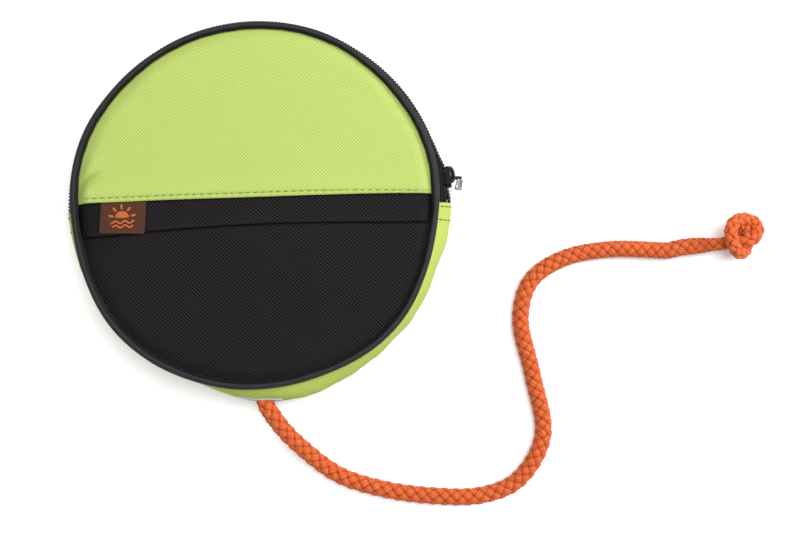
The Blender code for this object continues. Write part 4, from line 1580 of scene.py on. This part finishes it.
def strand(number, hand):
    """One of the eight strands over the whole rope, wound by hand 1 or -1.
    Returns points, normals, uv and the painted light on a grid."""
    turn = hand * PHASE + TAU * number / 4.0 + 0.35
    weave = hand * np.cos(4.0 * PHASE)                 # over and under the other strands
    radius = (2.98 + 0.58 * weave) * SQUEEZE
    out = NORMAL * np.cos(turn)[:, None] + BINORMAL * np.sin(turn)[:, None]
    centre = PATH + out * radius[:, None]
    along = unit(np.gradient(centre, axis=0))
    wide = unit(np.cross(along, out))
    high = np.cross(wide, along)
    half_width = (1.80 + 0.20 * weave) * SQUEEZE
    half_height = (1.06 + 0.14 * weave) * SQUEEZE
    uv = np.zeros((len(RUN), STRAND_COLS, 2))
    uv[:, :, 1] = (RUN * 1.33 + 431.0 * number + (217.0 if hand > 0 else 0.0))[:, None]
    rings = []
    for j in range(STRAND_COLS):
        cosine, sine = math.cos(TAU * j / STRAND_COLS), math.sin(TAU * j / STRAND_COLS)
        uv[:, j, 0] = 0.5 + 0.5 * cosine
        x = half_width * signed_power(cosine, 0.9)
        # the strand wraps round the rope
        y = half_height * signed_power(sine, 0.9) - 0.42 * x * x / np.maximum(radius, 2.0)
        if sine > 0.0:                                 # two yarns lie side by side in every strand
            y = y - 0.34 * SQUEEZE * bell(cosine, 0.22)
        rings.append(centre + wide * x[:, None] + high * y[:, None])
    # the cut end closes over itself
    closing = np.sqrt(np.clip((ROPE_END - RUN) / 2.2, 0.0, 1.0))
    axis = PATH[:, None, :]
    points = axis + (np.stack(rings, 1) - axis) * closing[:, None, None]
    normals = np.cross(np.roll(points, -1, 1) - np.roll(points, 1, 1), np.gradient(points, axis=0))
    normals /= np.maximum(np.linalg.norm(normals, axis=2, keepdims=True), 1e-9)
    normals *= np.sign((normals * (points - centre[:, None, :])).sum(axis=2).mean())
    # painted light: lighter where the strand passes over, painted shade where it dives under, and
    # painted lighter in the knot
    painted_crest_light = 0.5 + 0.5 * weave + 0.22 * smooth_step((RUN - KNOT_START - 6.0) / 10.0)
    return points, normals, uv, np.repeat(painted_crest_light[:, None], STRAND_COLS, 1)


def core():
    """The round core inside the strands, on the same kind of grid."""
    closing = np.sqrt(np.clip((ROPE_END - RUN) / 2.5, 0.0, 1.0) * 0.98 + 0.02)
    radius = (2.85 * SQUEEZE * closing)[:, None]
    turns = [TAU * j / CORE_COLS for j in range(CORE_COLS)]
    points = np.stack([PATH + (NORMAL * math.cos(turn) + BINORMAL * math.sin(turn)) * radius
                       for turn in turns], 1)
    normals = points - PATH[:, None, :]
    normals /= np.maximum(np.linalg.norm(normals, axis=2, keepdims=True), 1e-9)
    uv = np.zeros((len(RUN), CORE_COLS, 2))
    uv[:, :, 0] = np.arange(CORE_COLS)[None, :] / CORE_COLS
    uv[:, :, 1] = RUN[:, None]
    # no painted light on the core, so its material paints it in shade
    return points, normals, uv, np.zeros((len(RUN), CORE_COLS))


BRAID = [strand(number, hand) for hand in (1, -1) for number in range(4)] + [core()]


def rope_slice(name, start, end, move=None):
    """The braid between two lengths along the rope; move carries its points elsewhere."""
    first = int(np.searchsorted(RUN, start))
    last = min(int(np.searchsorted(RUN, end)), len(PATH) - 1)
    verts, faces, normals, uv, painted_crest_lights = [], [], [], [], []
    count = 0
    for grids in BRAID:
        points, normal, coords, painted_crest_light = (grid[first:last + 1] for grid in grids)
        rows, cols = points.shape[:2]
        points = points.reshape(-1, 3)
        tube = outward(points - points.mean(0), grid_faces(rows, cols))
        faces += [tuple(i + count for i in face) for face in tube]
        verts.append(points)
        normals.append(normal.reshape(-1, 3))
        uv.append(coords.reshape(-1, 2))
        painted_crest_lights.append(painted_crest_light.reshape(-1))
        count += len(points)
    verts, normals = np.vstack(verts), np.vstack(normals)
    if move is not None:
        verts, normals = move(verts), move(verts + normals * 0.01) - move(verts)
        normals /= np.maximum(np.linalg.norm(normals, axis=1, keepdims=True), 1e-12)
    obj = make(name, verts, faces, ROPE, np.vstack(uv), normals)
    # the painted light and shade of the strands, for the material
    add_attribute(obj, "painted_crest_light", np.concatenate(painted_crest_lights))
    return obj


BEND_JOINTS = ["rope_swing", "rope_lift"] + [f"rope_bend_{i}" for i in range(3, 9)]
bends = [nearest(PATH, list(Vector(JOINTS[name]["pos_m"]) * 1000.0)) for name in BEND_JOINTS]
runs = [float(RUN[i]) for i in bends]
bodies = ["bag"] + [f"rope_{i}" for i in range(1, 9)]
cuts = [-14.0] + [(start + end) / 2 for start, end in zip(runs, runs[1:])] + [runs[-1] + 22.0]
for i, bend in enumerate(bends):
    piece = rope_slice(f"rope_braid_{i + 1}", cuts[i], cuts[i + 1])
    reach = ALONG[bend] * (9.0 if i == 0 else 15.0)    # half the length over which it bends
    motion = (bodies[i], bodies[i + 1],
              tuple((PATH[bend] - reach) * 0.001), tuple((PATH[bend] + reach) * 0.001))
    place(piece, "rope_fibre", motion, f"rope_{i + 1}", *(["rope_root"] if i == 0 else []))
place(rope_slice("rope_knot_braid", cuts[-1], ROPE_END), "rope_fibre", "rope_8", "rope_end_knot")

# ------------------------------------------------------------------ stopper knot inside the bag
STOPPER_START = KNOT_START - 9.0
STOPPER_FROM = PATH[int(np.searchsorted(RUN, STOPPER_START))]
STOPPER_SCALE = 0.80


def to_stopper(points):
    """Carries the end knot, smaller and turned to point along +Y, to the height of the hole."""
    x, y, z = (points - STOPPER_FROM).T
    return np.column_stack([
        ROPE_LAY[EXIT][0] - y * STOPPER_SCALE, -89.0 + x * STOPPER_SCALE,
        ZIP_Z + z * STOPPER_SCALE - 7.0 * smooth_step(x / 9.0)])


stopper = rope_slice("rope_stopper_braid", STOPPER_START, ROPE_END, move=to_stopper)
place(stopper, "rope_fibre", "bag", "rope_stopper_knot")

# ------------------------------------------------------------------ stage, lights, camera (metres)
FLOOR_HALF = 6000.0                     # in mm
FLOOR_LIFT = 0.20                       # glow that only the camera sees
LIGHT_TARGET = (0.05, -0.03, 0.0)
CAMERA_ROLL = math.radians(-2.46)
CAMERA_PLACE = (72.0, -30.0)            # in mm, before the roll about the bag's axis
CAMERA_HEIGHT = 0.586


def paper_floor():
    """White paper, lifted to clean white for the camera; as a reflector it stays ordinary."""
    mat = Shader("paper_floor", rough=0.95, specular=0.0)
    tone = mat.noise(mat.position(), scale=0.01)
    mat.set("Base Color", mat.mix(tone, (0.80, 0.80, 0.80), (0.82, 0.82, 0.82)))
    camera_ray = mat.node("LightPath").outputs["Is Camera Ray"]
    mat.set("Emission Color", (1.0, 1.0, 1.0))
    mat.set("Emission Strength", mat.multiply(camera_ray, FLOOR_LIFT))
    return mat.material


def area_light(name, location, size, power):
    data = bpy.data.lights.new(name, "AREA")
    data.shape = "SQUARE"
    data.size = size
    data.energy = power
    light = bpy.data.objects.new(name, data)
    light.location = location
    direction = Vector(LIGHT_TARGET) - Vector(location)
    light.rotation_euler = direction.to_track_quat("-Z", "Y").to_euler()
    bpy.context.scene.collection.objects.link(light)


def add_camera():
    """Looks straight down on the bag and the rope."""
    data = bpy.data.cameras.new("camera")
    data.lens = 50.0
    data.sensor_width = 36.0
    data.clip_start = 0.01
    data.clip_end = 50.0
    camera = bpy.data.objects.new("camera", data)
    x, y = CAMERA_PLACE
    cosine, sine = math.cos(CAMERA_ROLL), math.sin(CAMERA_ROLL)
    camera.location = ((x * cosine - y * sine) * 0.001, (x * sine + y * cosine) * 0.001,
                       CAMERA_HEIGHT)
    camera.rotation_euler = (0.0, 0.0, CAMERA_ROLL)
    bpy.context.scene.collection.objects.link(camera)
    bpy.context.scene.camera = camera


corners = [(x * FLOOR_HALF, y * FLOOR_HALF, 0) for x, y in ((-1, -1), (1, -1), (1, 1), (-1, 1))]
make("studio_floor", corners, [(0, 1, 2, 3)], paper_floor(), [(0, 0)] * 4)

world = bpy.data.worlds.new("studio")
bpy.context.scene.world = world
world.use_nodes = True
background = world.node_tree.nodes["Background"]
background.inputs["Color"].default_value = (1.0, 1.0, 1.0, 1.0)
background.inputs["Strength"].default_value = 0.36

area_light("key", location=(0.34, 0.31, 1.80), size=1.0, power=32.5)
area_light("side", location=(1.55, 0.40, 0.95), size=0.7, power=22.0)
add_camera()
bpy.context.scene.view_settings.view_transform = "Standard"
